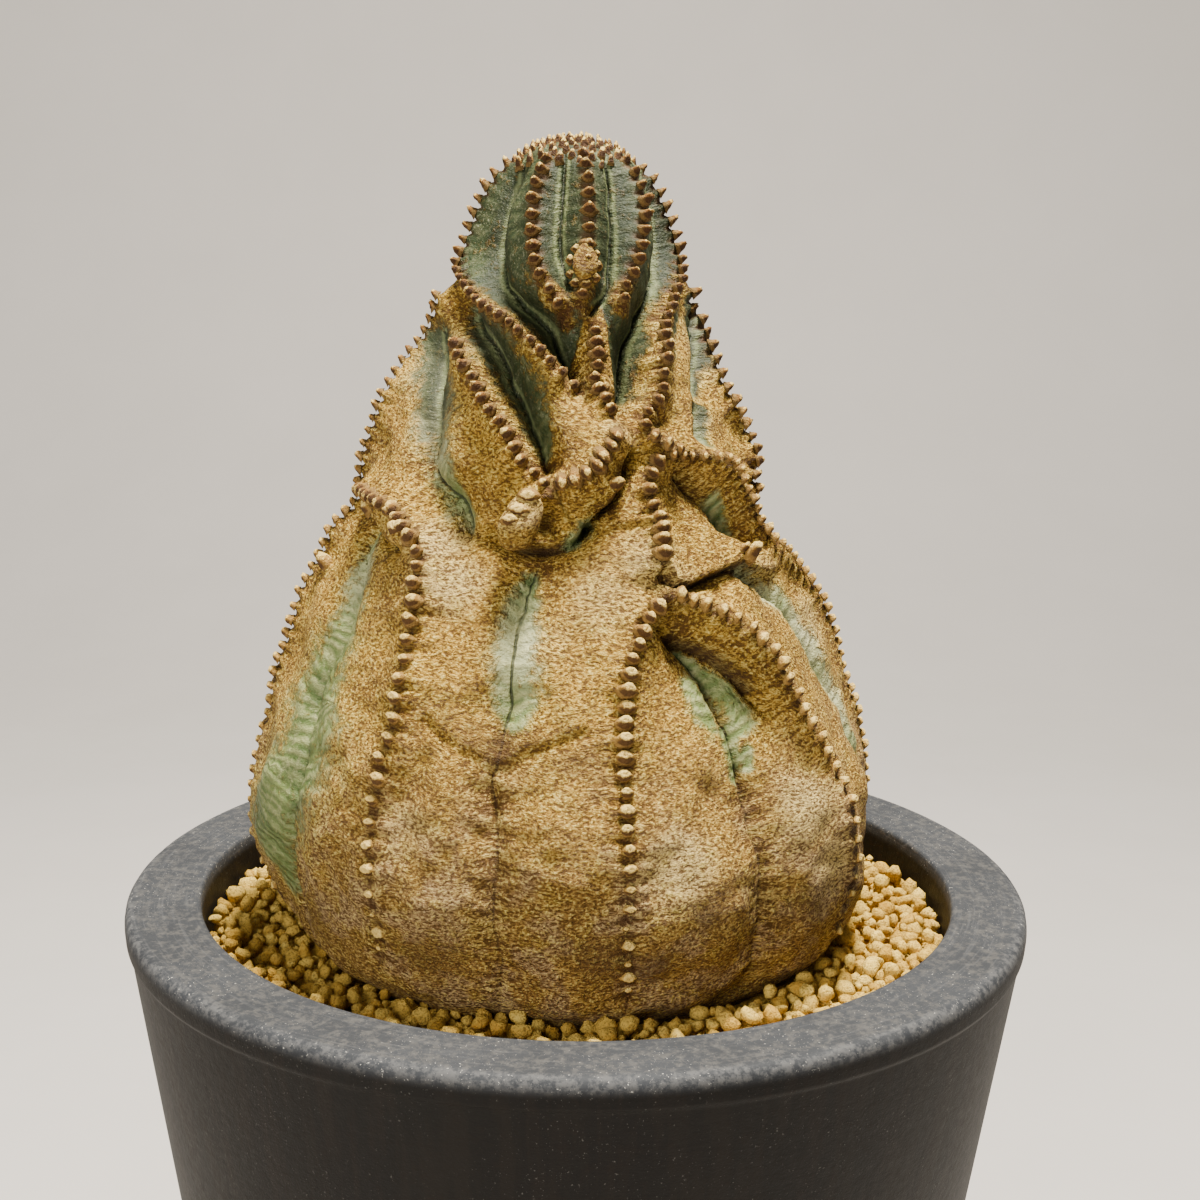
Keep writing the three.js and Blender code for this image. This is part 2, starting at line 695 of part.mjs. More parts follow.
// The eight lower ribs and the creases between them, by azimuth, as the mesh's guide lines.
const GUIDES = [
  CREASES.frontLower,
  ROWS.front,
  CREASES.frontRightLower,
  ROWS.frontRight,
  CREASES.rightLower,
  ROWS.right,
  CREASES.backRightLower,
  ROWS.backRight,
  CREASES.backLower,
  ROWS.back,
  CREASES.backLeftLower,
  ROWS.backLeft,
  CREASES.leftBackLower,
  ROWS.left,
  CREASES.leftLower,
  ROWS.frontLeft,
].map(({ path }, i) => ({
  even: FIRST_COLUMN + (i * 360) / RIB_SECTORS,
  byHeight: smooth(path, 60).map((p) => [p.y, p.x]).sort((a, b) => a[0] - b[0]),
}));

// The azimuth of mesh column c at a height: along the ribs low down, evenly spaced at the top.
function columnAzimuth(c, height) {
  const sector = Math.floor(c / COLUMNS_PER_SECTOR);
  const share = (c % COLUMNS_PER_SECTOR) / COLUMNS_PER_SECTOR;
  const here = GUIDES[sector];
  const next = GUIDES[(sector + 1) % RIB_SECTORS];
  const turned = (guide, from) => {
    const azimuth = ramp(guide.byHeight, clamp(height, RIBBED_FROM, RIBBED_TO));
    return azimuth + 360 * Math.round((from - azimuth) / 360);
  };
  const sectorWidth = 360 / RIB_SECTORS;
  const start = turned(here, here.even);
  const ribbed = lerp(start, turned(next, start + sectorWidth), share);
  const evenness = smoothstep(height, EVEN_FROM, EVEN_TO);
  return lerp(ribbed, here.even + share * sectorWidth, evenness);
}

// The heights of the mesh's rings: a few in the soil, then evenly spaced along the outline.
function ringHeights() {
  const outline = new THREE.SplineCurve(OUTLINE.map(([r, h]) => new THREE.Vector2(r, h)));
  const heights = outline.getSpacedPoints(400).map((p) => p.y);
  const surfaced = heights.findIndex((height) => height > BURIED_BELOW);
  const buried = heights.slice(0, surfaced);
  const shown = heights.slice(surfaced, -1);
  const pick = (list, count) =>
    [...Array(count).keys()].map((i) => list[Math.round(((i + 0.5) * (list.length - 1)) / count)]);
  return [...pick(buried, BURIED_ROWS), ...pick(shown, SHOWN_ROWS)];
}

// The skin as a closed geometry: rings of columns from root to crown, with a point at each end.
function skinGeometry(extra = 0) {
  const heights = ringHeights();
  const positions = [];
  const triangles = [];
  for (const height of heights) {
    for (let c = 0; c < COLUMNS; c++) {
      positions.push(...skinPoint(columnAzimuth(c, height), height, extra).toArray());
    }
  }
  const root = positions.length / 3;
  positions.push(ramp(LEAN, ROOT_HEIGHT), 0, ROOT_HEIGHT - extra);
  positions.push(ramp(LEAN, CROWN_HEIGHT), 0, CROWN_HEIGHT + extra);
  for (let c = 0; c < COLUMNS; c++) {
    const d = (c + 1) % COLUMNS;
    for (let row = 0; row + 1 < heights.length; row++) {
      const low = row * COLUMNS;
      const high = low + COLUMNS;
      triangles.push(low + c, low + d, high + d, low + c, high + d, high + c);
    }
    const top = (heights.length - 1) * COLUMNS;
    triangles.push(root, d, c, root + 1, top + c, top + d);
  }
  return geometryOf(positions, triangles);
}

// ---- tubercles ----
// One tubercle: a low three-sided spike, wider across its row than along it.
function tubercle(foot, out, downhill, size, height) {
  const across = new THREE.Vector3().crossVectors(out, downhill).normalize();
  const at = (a, b, c) =>
    foot.clone().addScaledVector(across, a).addScaledVector(downhill, b).addScaledVector(out, c);
  const points = [
    at(TUBERCLE_HALF_WIDTH * size, -TUBERCLE_UPHILL * size, -TUBERCLE_ROOT),
    at(-TUBERCLE_HALF_WIDTH * size, -TUBERCLE_UPHILL * size, -TUBERCLE_ROOT),
    at(0, TUBERCLE_DOWNHILL * size, -TUBERCLE_ROOT),
    at(0, -TIP_UPHILL * size, height),
  ];
  const faces = [0, 1, 3, 1, 2, 3, 2, 0, 3, 0, 2, 1];
  return geometryOf(points.flatMap((p) => p.toArray()), faces);
}

// The tubercles of one row, further apart low down and a little unequal in size.
function rowOfTubercles(row, random) {
  const curve = new THREE.CatmullRomCurve3(traced(row.path).map((p) => p.point));
  const places = new THREE.SplineCurve(traced(row.path).map((p) => new THREE.Vector2(...p.place)));
  const count = Math.round(row.count / TUBERCLE_STEP);
  const made = [];
  for (let i = 0; i < count; i++) {
    const share = (i + 0.5) / count;
    const u = curve.getUtoTmapping(lerp(1 - row.spread, 1, share) * share);
    const { x: azimuth, y: height } = places.getPoint(u);
    const out = outward(azimuth, height);
    const downhill = curve.getTangent(u).projectOnPlane(out).normalize();
    if (downhill.z > 0) downhill.negate();
    const size = row.size * (1 + SIZE_SPREAD * (random() - 0.5));
    made.push(tubercle(skinPoint(azimuth, height), out, downhill, size, TUBERCLE_HEIGHT * size));
  }
  return made;
}

function singleTubercle({ at, size, height, lift = 0 }) {
  const out = outward(...at);
  const downhill = UP.clone().negate().projectOnPlane(out).normalize();
  return tubercle(skinPoint(...at).addScaledVector(out, lift), out, downhill, size, height);
}

function scar({ at, halfWidth, halfLength, thickness, turn, lift }) {
  const out = outward(...at);
  const level = new THREE.Vector3().crossVectors(UP, out).normalize();
  const across = level.applyAxisAngle(out, -turn * RAD);
  const along = new THREE.Vector3().crossVectors(out, across);
  const middle = skinPoint(...at).addScaledVector(out, lift);
  across.multiplyScalar(halfWidth);
  along.multiplyScalar(halfLength);
  out.multiplyScalar(thickness);
  const placed = new THREE.Matrix4().makeBasis(across, along, out).setPosition(middle);
  return new THREE.IcosahedronGeometry(1, SCAR_DETAIL).applyMatrix4(placed);
}

// The crown is packed with upright young tubercles, in rings round the growing point.
function crownTubercles() {
  const middle = new THREE.Vector3(ramp(LEAN, CROWN_HEIGHT), 0, CROWN_HEIGHT);
  return CROWN_RINGS.flatMap(({ radius, count, turn, size, height }) =>
    [...Array(count).keys()].map((i) => {
      const angle = (turn + (360 * i) / count) * RAD;
      const downhill = new THREE.Vector3(Math.sin(angle), -Math.cos(angle), 0);
      const foot = middle.clone().addScaledVector(downhill, radius);
      foot.z -= (CROWN_HEIGHT - CROWN_EDGE_HEIGHT) * (radius / CROWN_EDGE_RADIUS) ** 2;
      return tubercle(foot, UP, downhill, size, height);
    }),
  );
}

// The skin with its scars and every tubercle fused on.
function plantGeometry() {
  const random = stream(7);
  const rows = Object.values(ROWS).flatMap((row) => rowOfTubercles(row, random));
  const single = [...SCARS.map(scar), ...SINGLE_TUBERCLES.map(singleTubercle)];
  const lumps = [...rows, ...single, ...crownTubercles()].map(solidFrom);
  const joined = lumps.reduce((all, lump) => all.add(lump));
  return geometryFrom(mainBody(solidFrom(skinGeometry()).add(joined)));
}

// ---- the pot ----
// Outer and inner radius of the wall at a depth below the rim's flat top.
const FLOOR_HEIGHT = FOOT_HEIGHT + FLOOR_THICKNESS;
const outerRadiusAt = (drop) => WALL_TOP_RADIUS - WALL_TAPER * (drop - RIM_BAND);
const MOUTH_RADIUS = RIM_RADIUS - RIM_WIDTH;
const FLOOR_RADIUS = outerRadiusAt(POT_HEIGHT - FLOOR_HEIGHT) - WALL_THICKNESS;
const innerRadiusAt = (height) =>
  THREE.MathUtils.mapLinear(height, POT_HEIGHT, FLOOR_HEIGHT, MOUTH_RADIUS, FLOOR_RADIUS);

// A moulded pot: foot ring, tapered wall, thick flat rim with a rounded edge, one drain hole.
function potGeometry() {
  const top = POT_HEIGHT;
  const foot = outerRadiusAt(POT_HEIGHT);
  const profile = [
    [DRAIN_RADIUS, FOOT_HEIGHT],
    [foot - FOOT_WIDTH - 2 * EDGE_BEVEL, FOOT_HEIGHT],
    [foot - FOOT_WIDTH, 0],
    [foot - FOOT_BEVEL, 0],
    [foot, FOOT_BEVEL],
    [WALL_TOP_RADIUS, top - RIM_BAND - EDGE_BEVEL],
    [RIM_RADIUS - EDGE_BEVEL / 2, top - RIM_BAND],
    [RIM_RADIUS, top - RIM_BAND + EDGE_BEVEL],
    [RIM_RADIUS, top - RIM_ROUND],
    [RIM_RADIUS - 0.3 * RIM_ROUND, top - 0.3 * RIM_ROUND],
    [RIM_RADIUS - RIM_ROUND, top],
    [MOUTH_RADIUS + EDGE_BEVEL, top],
    [MOUTH_RADIUS, top - EDGE_BEVEL],
    [FLOOR_RADIUS, FLOOR_HEIGHT],
    [DRAIN_RADIUS, FLOOR_HEIGHT],
  ];
  const points = profile.map(([r, z]) => new THREE.Vector2(r, z));
  points.push(points[0].clone());
  return new THREE.LatheGeometry(points, POT_SIDES).rotateX(Math.PI / 2);
}

// ---- the grit ----
// A blunt eight-faced grain.
function grain(x, y, z, size, random) {
  const shape = new THREE.OctahedronGeometry(size, 0);
  shape.scale(0.8 + 0.4 * random(), 0.8 + 0.4 * random(), 0.75);
  shape.rotateZ(random() * Math.PI);
  shape.translate(x, y, z);
  return shape;
}

// The bed of grit fills the pot: plain sides, and a top of small facets raised and sunk at random.
function bedGeometry(random) {
  const bottom = FLOOR_HEIGHT + GAP;
  const surface = POT_HEIGHT + SOIL_LEVEL;
  const topRadius = innerRadiusAt(surface) - GAP;
  const rings = [{ radius: innerRadiusAt(bottom) - GAP, height: bottom }];
  for (let i = 0; i <= SOIL_RINGS; i++) {
    rings.push({ radius: topRadius - i * RING_STEP, height: surface, rough: GRIT_RELIEF });
  }
  const positions = [];
  for (const { radius, height, rough = 0 } of rings) {
    for (let s = 0; s < SOIL_SECTORS; s++) {
      const angle = (2 * Math.PI * s) / SOIL_SECTORS;
      const lift = rough * (2 * random() - 1);
      positions.push(radius * Math.cos(angle), radius * Math.sin(angle), height + lift);
    }
  }
  const poles = positions.length / 3;
  positions.push(0, 0, bottom, 0, 0, surface);
  const triangles = [];
  for (let s = 0; s < SOIL_SECTORS; s++) {
    const t = (s + 1) % SOIL_SECTORS;
    for (let ring = 0; ring + 1 < rings.length; ring++) {
      const low = ring * SOIL_SECTORS;
      const high = low + SOIL_SECTORS;
      triangles.push(low + s, low + t, high + t, low + s, high + t, high + s);
    }
    const inner = (rings.length - 1) * SOIL_SECTORS;
    triangles.push(poles, t, s, poles + 1, inner + s, inner + t);
  }
  return geometryOf(positions, triangles);
}

// The bed with loose larger grains fused on, and a pocket that clears the plant all round.
function soilGeometry() {
  const random = stream(21);
  let solid = solidFrom(bedGeometry(random));
  const outer = innerRadiusAt(POT_HEIGHT + SOIL_LEVEL) - 2 * GRAIN_RADIUS;
  const inner = ramp(OUTLINE_BY_HEIGHT, SOIL_LEVEL) + 2 * GRAIN_RADIUS;
  for (let i = 0; i < GRAIN_COUNT; i++) {
    const angle = 2 * Math.PI * ((i * 0.618) % 1);
    const radius = inner + (outer - inner) * random();
    const size = GRAIN_RADIUS * (0.8 + 0.5 * random());
    const height = POT_HEIGHT + SOIL_LEVEL + GRAIN_LIFT;
    const x = radius * Math.cos(angle);
    const y = radius * Math.sin(angle);
    solid = solid.add(solidFrom(grain(x, y, height, size, random)));
  }
  const pocket = skinGeometry(GAP).translate(0, 0, POT_HEIGHT);
  return geometryFrom(mainBody(solid.subtract(solidFrom(pocket))));
}

// ---- the assembly ----
function named(name, geometry, color, roughness, height) {
  const mesh = new THREE.Mesh(
    geometry,
    new THREE.MeshStandardMaterial({ color, roughness, metalness: 0 }),
  );
  mesh.name = name;
  mesh.position.z = height;
  return mesh;
}

const pottedPlant = new THREE.Group();
pottedPlant.add(
  named("pot", potGeometry(), 0x2b2a2a, 0.5, 0),
  named("soil", soilGeometry(), 0xb8924a, 0.95, 0),
  named("plant", plantGeometry(), 0xb08f57, 0.7, POT_HEIGHT),
);

export default pottedPlant;
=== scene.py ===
"""An old baseball plant (Euphorbia obesa) in a round plastic pot of fine clay grit.

Lengths in this file are millimetres, but for the lights and the camera, which are placed in metres.
Every mesh is turned to metres as it is made. Heights on the plant are above the pot's rim, and its
front faces -Y.
"""

import math

import bpy
import numpy as np
from mathutils import Matrix, Vector


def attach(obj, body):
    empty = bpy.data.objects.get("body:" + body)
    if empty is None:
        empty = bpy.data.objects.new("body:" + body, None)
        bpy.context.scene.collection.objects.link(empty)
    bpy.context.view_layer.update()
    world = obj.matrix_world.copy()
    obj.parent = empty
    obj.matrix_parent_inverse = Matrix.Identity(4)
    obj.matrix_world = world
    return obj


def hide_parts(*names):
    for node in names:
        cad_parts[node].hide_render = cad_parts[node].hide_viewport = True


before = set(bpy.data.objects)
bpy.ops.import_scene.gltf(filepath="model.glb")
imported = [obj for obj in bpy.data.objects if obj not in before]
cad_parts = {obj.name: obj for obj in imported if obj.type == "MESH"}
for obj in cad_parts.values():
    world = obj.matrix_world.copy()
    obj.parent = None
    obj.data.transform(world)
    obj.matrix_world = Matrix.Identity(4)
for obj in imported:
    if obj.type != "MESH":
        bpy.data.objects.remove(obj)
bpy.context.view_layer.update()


# ---- The pot ----
# A round pot moulded in charcoal plastic, with a thick flat rim, a tapered wall, a foot ring and one
# drain hole. Dust has dried on the rim in a grey film. The rim's top is painted paler than the wall, as
# lit from above, its rounded outer edge is paler from wear and a painted highlight, and the wall is tinted
# warm brown as a painted reflection.

MILLIMETRE = 0.001
POT_HEIGHT = 130
RIM_RADIUS = 75
RIM_WIDTH = 12.2
RIM_BAND = 4.6
WALL_TOP_RADIUS = 74.3
WALL_TAPER = 0.145
WALL_THICKNESS = 3.5
FLOOR_HEIGHT = 6
FOOT_HEIGHT = 3
FOOT_WIDTH = 6
FOOT_RADIUS = WALL_TOP_RADIUS - WALL_TAPER * (POT_HEIGHT - RIM_BAND)
MOUTH_RADIUS = RIM_RADIUS - RIM_WIDTH
FLOOR_RADIUS = WALL_TOP_RADIUS - WALL_TAPER * (POT_HEIGHT - FLOOR_HEIGHT - RIM_BAND) - WALL_THICKNESS
DRAIN_RADIUS = 8
NICK_DEPTH = 0.1
POT_SECTORS = 288


def stacked(*parts):
    """Arrays side by side along one more axis, each stretched to the shape that they share."""
    return np.stack(np.broadcast_arrays(*parts), -1)


def circle(count):
    """Evenly spaced angles once round, in radians."""
    return np.linspace(0, 2 * np.pi, count, endpoint=False)


def unit(vectors):
    return vectors / np.linalg.norm(vectors, axis=-1, keepdims=True)


def grid_faces(rows, columns, close_rows=False, close_columns=True):
    """The four-cornered faces between neighbours of a grid of points that is numbered row by row."""
    r = np.arange(rows if close_rows else rows - 1)[:, None]
    c = np.arange(columns if close_columns else columns - 1)[None, :]
    below, above = r * columns, (r + 1) % rows * columns
    left, right = c, (c + 1) % columns
    return stacked(below + left, below + right, above + right, above + left).reshape(-1, 4)


def make_piece(name, points, faces, material, attributes=()):
    """A smooth mesh from millimetre points and a list of face arrays, with its values for each point."""
    mesh = bpy.data.meshes.new(name)
    mesh.from_pydata((points * MILLIMETRE).tolist(), [], [f for part in faces for f in part.tolist()])
    mesh.polygons.foreach_set("use_smooth", np.ones(len(mesh.polygons), bool))
    for label, values in dict(attributes).items():
        kind, field = ("FLOAT", "value") if values.ndim == 1 else ("FLOAT_VECTOR", "vector")
        layer = mesh.attributes.new(label, kind, "POINT")
        layer.data.foreach_set(field, values.astype(np.float32).ravel())
    mesh.materials.append(material)
    mesh.update()
    piece = bpy.data.objects.new(name, mesh)
    bpy.context.scene.collection.objects.link(piece)
    return piece


def rounded(corners, steps=5):
    """A closed outline with each corner (x, y, cut) replaced by a parabola between points at that
    distance along its two sides."""
    points = np.array(corners, float)
    place, cut = points[:, :2], points[:, 2:]
    back, ahead = np.roll(place, 1, 0) - place, np.roll(place, -1, 0) - place
    start, end = place + unit(back) * cut, place + unit(ahead) * cut
    t = np.linspace(0, 1, steps)[None, :, None]
    arc = (1 - t) ** 2 * start[:, None] + 2 * t * (1 - t) * place[:, None] + t**2 * end[:, None]
    return arc.reshape(-1, 2)


def unevenness(points, size, seed=0):
    """Smooth random numbers from -1 to 1: one for each corner of a lattice of cubes of that size,
    blended by distance between the eight corners round a point."""
    cell = np.asarray(points, float) / size
    base = np.floor(cell).astype(np.int64)
    share = cell - base
    share = share * share * (3 - 2 * share)
    total = 0
    for corner in np.ndindex(2, 2, 2):
        x, y, z = np.moveaxis(base + corner, -1, 0)
        number = x * 73856093 ^ y * 19349663 ^ z * 83492791 ^ seed * 50331653
        number = (number ^ number >> 13) * 1274126177 & 0xFFFFFFFF
        value = ((number ^ number >> 16) & 0xFFFF) / 32767.5 - 1
        total = total + value * np.prod(np.where(corner, share, 1 - share), -1)
    return total


def colour(red, green, blue):
    """A colour given as it looks on a screen, from 0 to 255, in the linear values that shaders use."""
    screen = np.array([red, green, blue]) / 255
    return (*np.where(screen > 0.04045, ((screen + 0.055) / 1.055) ** 2.4, screen / 12.92), 1)


class Value:
    """One shader value. Arithmetic on it adds the Math node that works it out."""

    def __init__(self, paint, link):
        self.paint, self.link = paint, link

    def math(self, operation, *others):
        return self.paint.node("Math", {"operation": operation}, dict(enumerate((self, *others))))

    def __add__(self, other):
        return self.math("ADD", other)

    def __sub__(self, other):
        return self.math("SUBTRACT", other)

    def __rsub__(self, other):
        return self.math("MULTIPLY_ADD", -1, other)

    def __mul__(self, other):
        return self.math("MULTIPLY", other)

    def __pow__(self, other):
        return self.math("POWER", other)

    def __abs__(self):
        return self.math("ABSOLUTE")

    __radd__ = __add__
    __rmul__ = __mul__


class Paint:
    """One material: its node tree, and the nodes that the finishes of this object are mixed from."""

    def __init__(self, name):
        self.material = bpy.data.materials.new(name)
        self.material.use_nodes = True
        self.tree = self.material.node_tree
        self.shader = self.tree.nodes["Principled BSDF"]
        here = self.node("TexCoord", output="Object")
        self.place = self.node("VectorMath", {"operation": "SCALE"}, {0: here, "Scale": 1 / MILLIMETRE})

    def feed(self, socket, value):
        if isinstance(value, Value):
            self.tree.links.new(value.link, socket)
        else:
            socket.default_value = value

    def node(self, kind, settings=(), inputs=(), output=0):
        """Any node: its type, its settings, its inputs by name or number, and the output to use."""
        made = self.tree.nodes.new("ShaderNode" + kind)
        for key, value in dict(settings).items():
            setattr(made, key, value)
        for key, value in dict(inputs).items():
            self.feed(made.inputs[key], value)
        return Value(self, made.outputs[output])

    def parts(self, vector):
        return [self.node("SeparateXYZ", (), {0: vector}, axis) for axis in range(3)]

    def vector(self, x, y, z):
        return self.node("CombineXYZ", (), {0: x, 1: y, 2: z})

    def stretched(self, vector, x, y, z):
        return self.node("VectorMath", {"operation": "MULTIPLY"}, {0: vector, 1: (x, y, z)})

    def shifted(self, vector, other, scale):
        """The vector moved by another vector times a number."""
        moved = self.node("VectorMath", {"operation": "SCALE"}, {0: other, "Scale": scale})
        return self.node("VectorMath", {"operation": "ADD"}, {0: vector, 1: moved})

    def noise(self, at, size, detail, rough, output=0):
        """Noise from about 0.25 to 0.75, in blotches of about the size given in millimetres."""
        inputs = {"Vector": at, "Scale": 1 / size, "Detail": detail, "Roughness": rough}
        return self.node("TexNoise", (), inputs, output)

    def cells(self, at, size):
        """The distance from the middle of the nearest of many cells, as a share of their size."""
        return self.node("TexVoronoi", (), {"Vector": at, "Scale": 1 / size}, "Distance")

    def ramp(self, value, low, high, start=0.0, end=1.0):
        """A smooth step from start to end as the value goes from low to high."""
        inputs = {"Value": value, "From Min": low, "From Max": high, "To Min": start, "To Max": end}
        return self.node("MapRange", {"interpolation_type": "SMOOTHSTEP"}, inputs)

    def mix(self, share, first, second):
        """A colour between two, by a share from 0 to 1. Each is a value or a screen colour."""
        first, second = (c if isinstance(c, Value) else colour(*c) for c in (first, second))
        return self.node("Mix", {"data_type": "RGBA"}, {0: share, 6: first, 7: second}, 2)

    def layers(self, base, *coats):
        """A colour under coats of others, each with the share from 0 to 1 that it covers."""
        for share, coat in coats:
            base = self.mix(share, base, coat)
        return base

    def attribute(self, name, output="Fac"):
        return self.node("Attribute", {"attribute_name": name}, (), output)

    def bump(self, height):
        """The surface direction for a height in millimetres."""
        return self.node("Bump", (), {"Height": height, "Distance": MILLIMETRE})

    def finish(self, base, roughness, normal, specular=0.5):
        """The material itself, once its shader has these."""
        self.feed(self.shader.inputs["Base Color"], base)
        self.feed(self.shader.inputs["Roughness"], roughness)
        self.feed(self.shader.inputs["Normal"], normal)
        self.shader.inputs["Specular IOR Level"].default_value = specular
        return self.material


def pot_points():
    """The pot's section (radius, height) turned round its axis: x = radius sin a, y = -radius cos a.
    The rim's edge is nicked inwards by up to 0.1 mm where an unevenness is high."""
    section = rounded([
        (DRAIN_RADIUS, FOOT_HEIGHT, 0.4),
        (FOOT_RADIUS - FOOT_WIDTH - 1, FOOT_HEIGHT, 0.5),
        (FOOT_RADIUS - FOOT_WIDTH, 0, 0.5),
        (FOOT_RADIUS, 0, 0.8),
        (WALL_TOP_RADIUS, POT_HEIGHT - RIM_BAND - 0.6, 0.25),
        (RIM_RADIUS - 0.15, POT_HEIGHT - RIM_BAND + 0.1, 0.35),
        (RIM_RADIUS, POT_HEIGHT - 2.6, 0.3),
        (RIM_RADIUS - 0.1, POT_HEIGHT, 1.9),
        (MOUTH_RADIUS, POT_HEIGHT, 0.9),
        (FLOOR_RADIUS, FLOOR_HEIGHT, 1.5),
        (DRAIN_RADIUS, FLOOR_HEIGHT, 0.4),
    ])
    radius, height = section.T[:, :, None]
    angle = circle(POT_SECTORS)
    grid = stacked(radius * np.sin(angle), -radius * np.cos(angle), height)
    edge = np.clip((grid[..., 2] - POT_HEIGHT + 2.5) / 2, 0, 1) * (radius > RIM_RADIUS - 1.2)
    nick = NICK_DEPTH * edge * np.clip(unevenness(grid, 1.6, 3) * 1.6 - 0.7, 0, 1)
    grid[..., :2] *= (1 - nick / RIM_RADIUS)[..., None]
    return grid


def pot_plastic():
    """Charcoal plastic: a dusty grey film with faint lines and pale specks on the rim, whose top is painted
    paler than the wall as lit from above; a rounded edge paler from wear and a painted highlight; and a
    darker, smoother wall with faint streaks, tinted warm brown as a painted reflection."""
    paint = Paint("pot_plastic")
    mix, noise, ramp = paint.mix, paint.noise, paint.ramp
    x, y, z = paint.parts(paint.place)
    radius = (x * x + y * y) ** 0.5
    round_x, round_y = x.math("DIVIDE", radius), y.math("DIVIDE", radius)
    lines = noise(paint.vector(round_x * 6, round_y * 6, radius * 2.2 + z * 1.3), 1, 3, 0.65)
    streaks = noise(paint.vector(round_x * 30, round_y * 30, z * 0.05), 1, 3, 0.6)
    blotches = noise(paint.place, 14, 4, 0.6)
    film = noise(paint.place, 1.5, 4, 0.75)
    dust = noise(paint.place, 0.4, 2, 0.7)
    on_top = ramp(z, POT_HEIGHT - 3, POT_HEIGHT - 0.8)
    # The rounded outer edge: paler from wear, and a painted highlight where it turns to the light.
    edge = ramp(radius, RIM_RADIUS - 2.4, RIM_RADIUS - 0.8) * ramp(z, POT_HEIGHT - 2.4, POT_HEIGHT - 0.8)
    specks = ramp(dust, 0.66, 0.72) * ramp(blotches, 0.36, 0.56) * (on_top * 0.85 + 0.15)
    # The top is painted paler grey than the wall, as lit from above, under its real dust film.
    top = paint.layers(
        mix(blotches, (38, 39, 41), (58, 60, 63)),
        (ramp(film, 0.44, 0.66) * 0.5, (90, 87, 82)),
        (ramp(lines, 0.5, 0.72) * 0.3, (88, 88, 88)),
    )
    # The wall's warm brown tint is a painted reflection; its faint streaks are its own.
    wall = paint.layers(
        mix(ramp(streaks, 0.42, 0.62), (6, 4, 2), (13, 8, 4)),
        (ramp(film, 0.5, 0.72) * 0.14, (34, 24, 15)),
    )
    base = paint.layers(
        mix(on_top, wall, top),
        # Wear and a painted highlight on the rounded edge.
        (edge * ramp(film, 0.4, 0.6) * 0.5, (92, 92, 92)),
        (specks * 0.8, (190, 186, 176)),
    )
    roughness = 0.5 + on_top * 0.06 + film * 0.2 + specks * 0.2
    return paint.finish(base, roughness, paint.bump(film * 0.1 + lines * 0.03 + dust * 0.04), 0.16)


pot_grid = pot_points()
pot = make_piece(
    "potted_plant_pot", pot_grid.reshape(-1, 3),
    [grid_faces(len(pot_grid), POT_SECTORS, close_rows=True)], pot_plastic(),
)
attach(pot, "root")
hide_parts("pot")


# ---- The plant's body ----
# One grown body: a small green head on a wide, old, tan caudex. Ribs carry rows of tubercles, creases
# run between them, and where the plant has sagged its skin hangs over in folds and swells in lumps.

# Half of the body's outline as (radius, height), and its lean as (height, shift along X).
OUTLINE = [
    (0, -30), (11, -29), (20, -24), (29, -17), (36.5, -12), (42.8, -7), (47, -2.5), (49.1, 3), (50.6, 9),
    (51.2, 16), (50.4, 23), (47.3, 31.5), (43.8, 40), (40.4, 48.5), (35.7, 57), (31, 65), (29.2, 73),
    (26.7, 81.5), (23, 89), (20.4, 93.4), (18, 97.4), (15.8, 103.5), (13.6, 111), (11, 116.3),
    (8.2, 119.6), (4.4, 121.5), (0, 122),
]
LEAN = np.array([
    (-30, -1.2), (5, -1.2), (14, -2), (27, -2.2), (40, -2.7), (48, -3.5), (61, -3.4), (75, -3.7),
    (89, -3), (101, -2.1), (122, -1.7),
])
CROWN_HEIGHT = OUTLINE[-1][1]

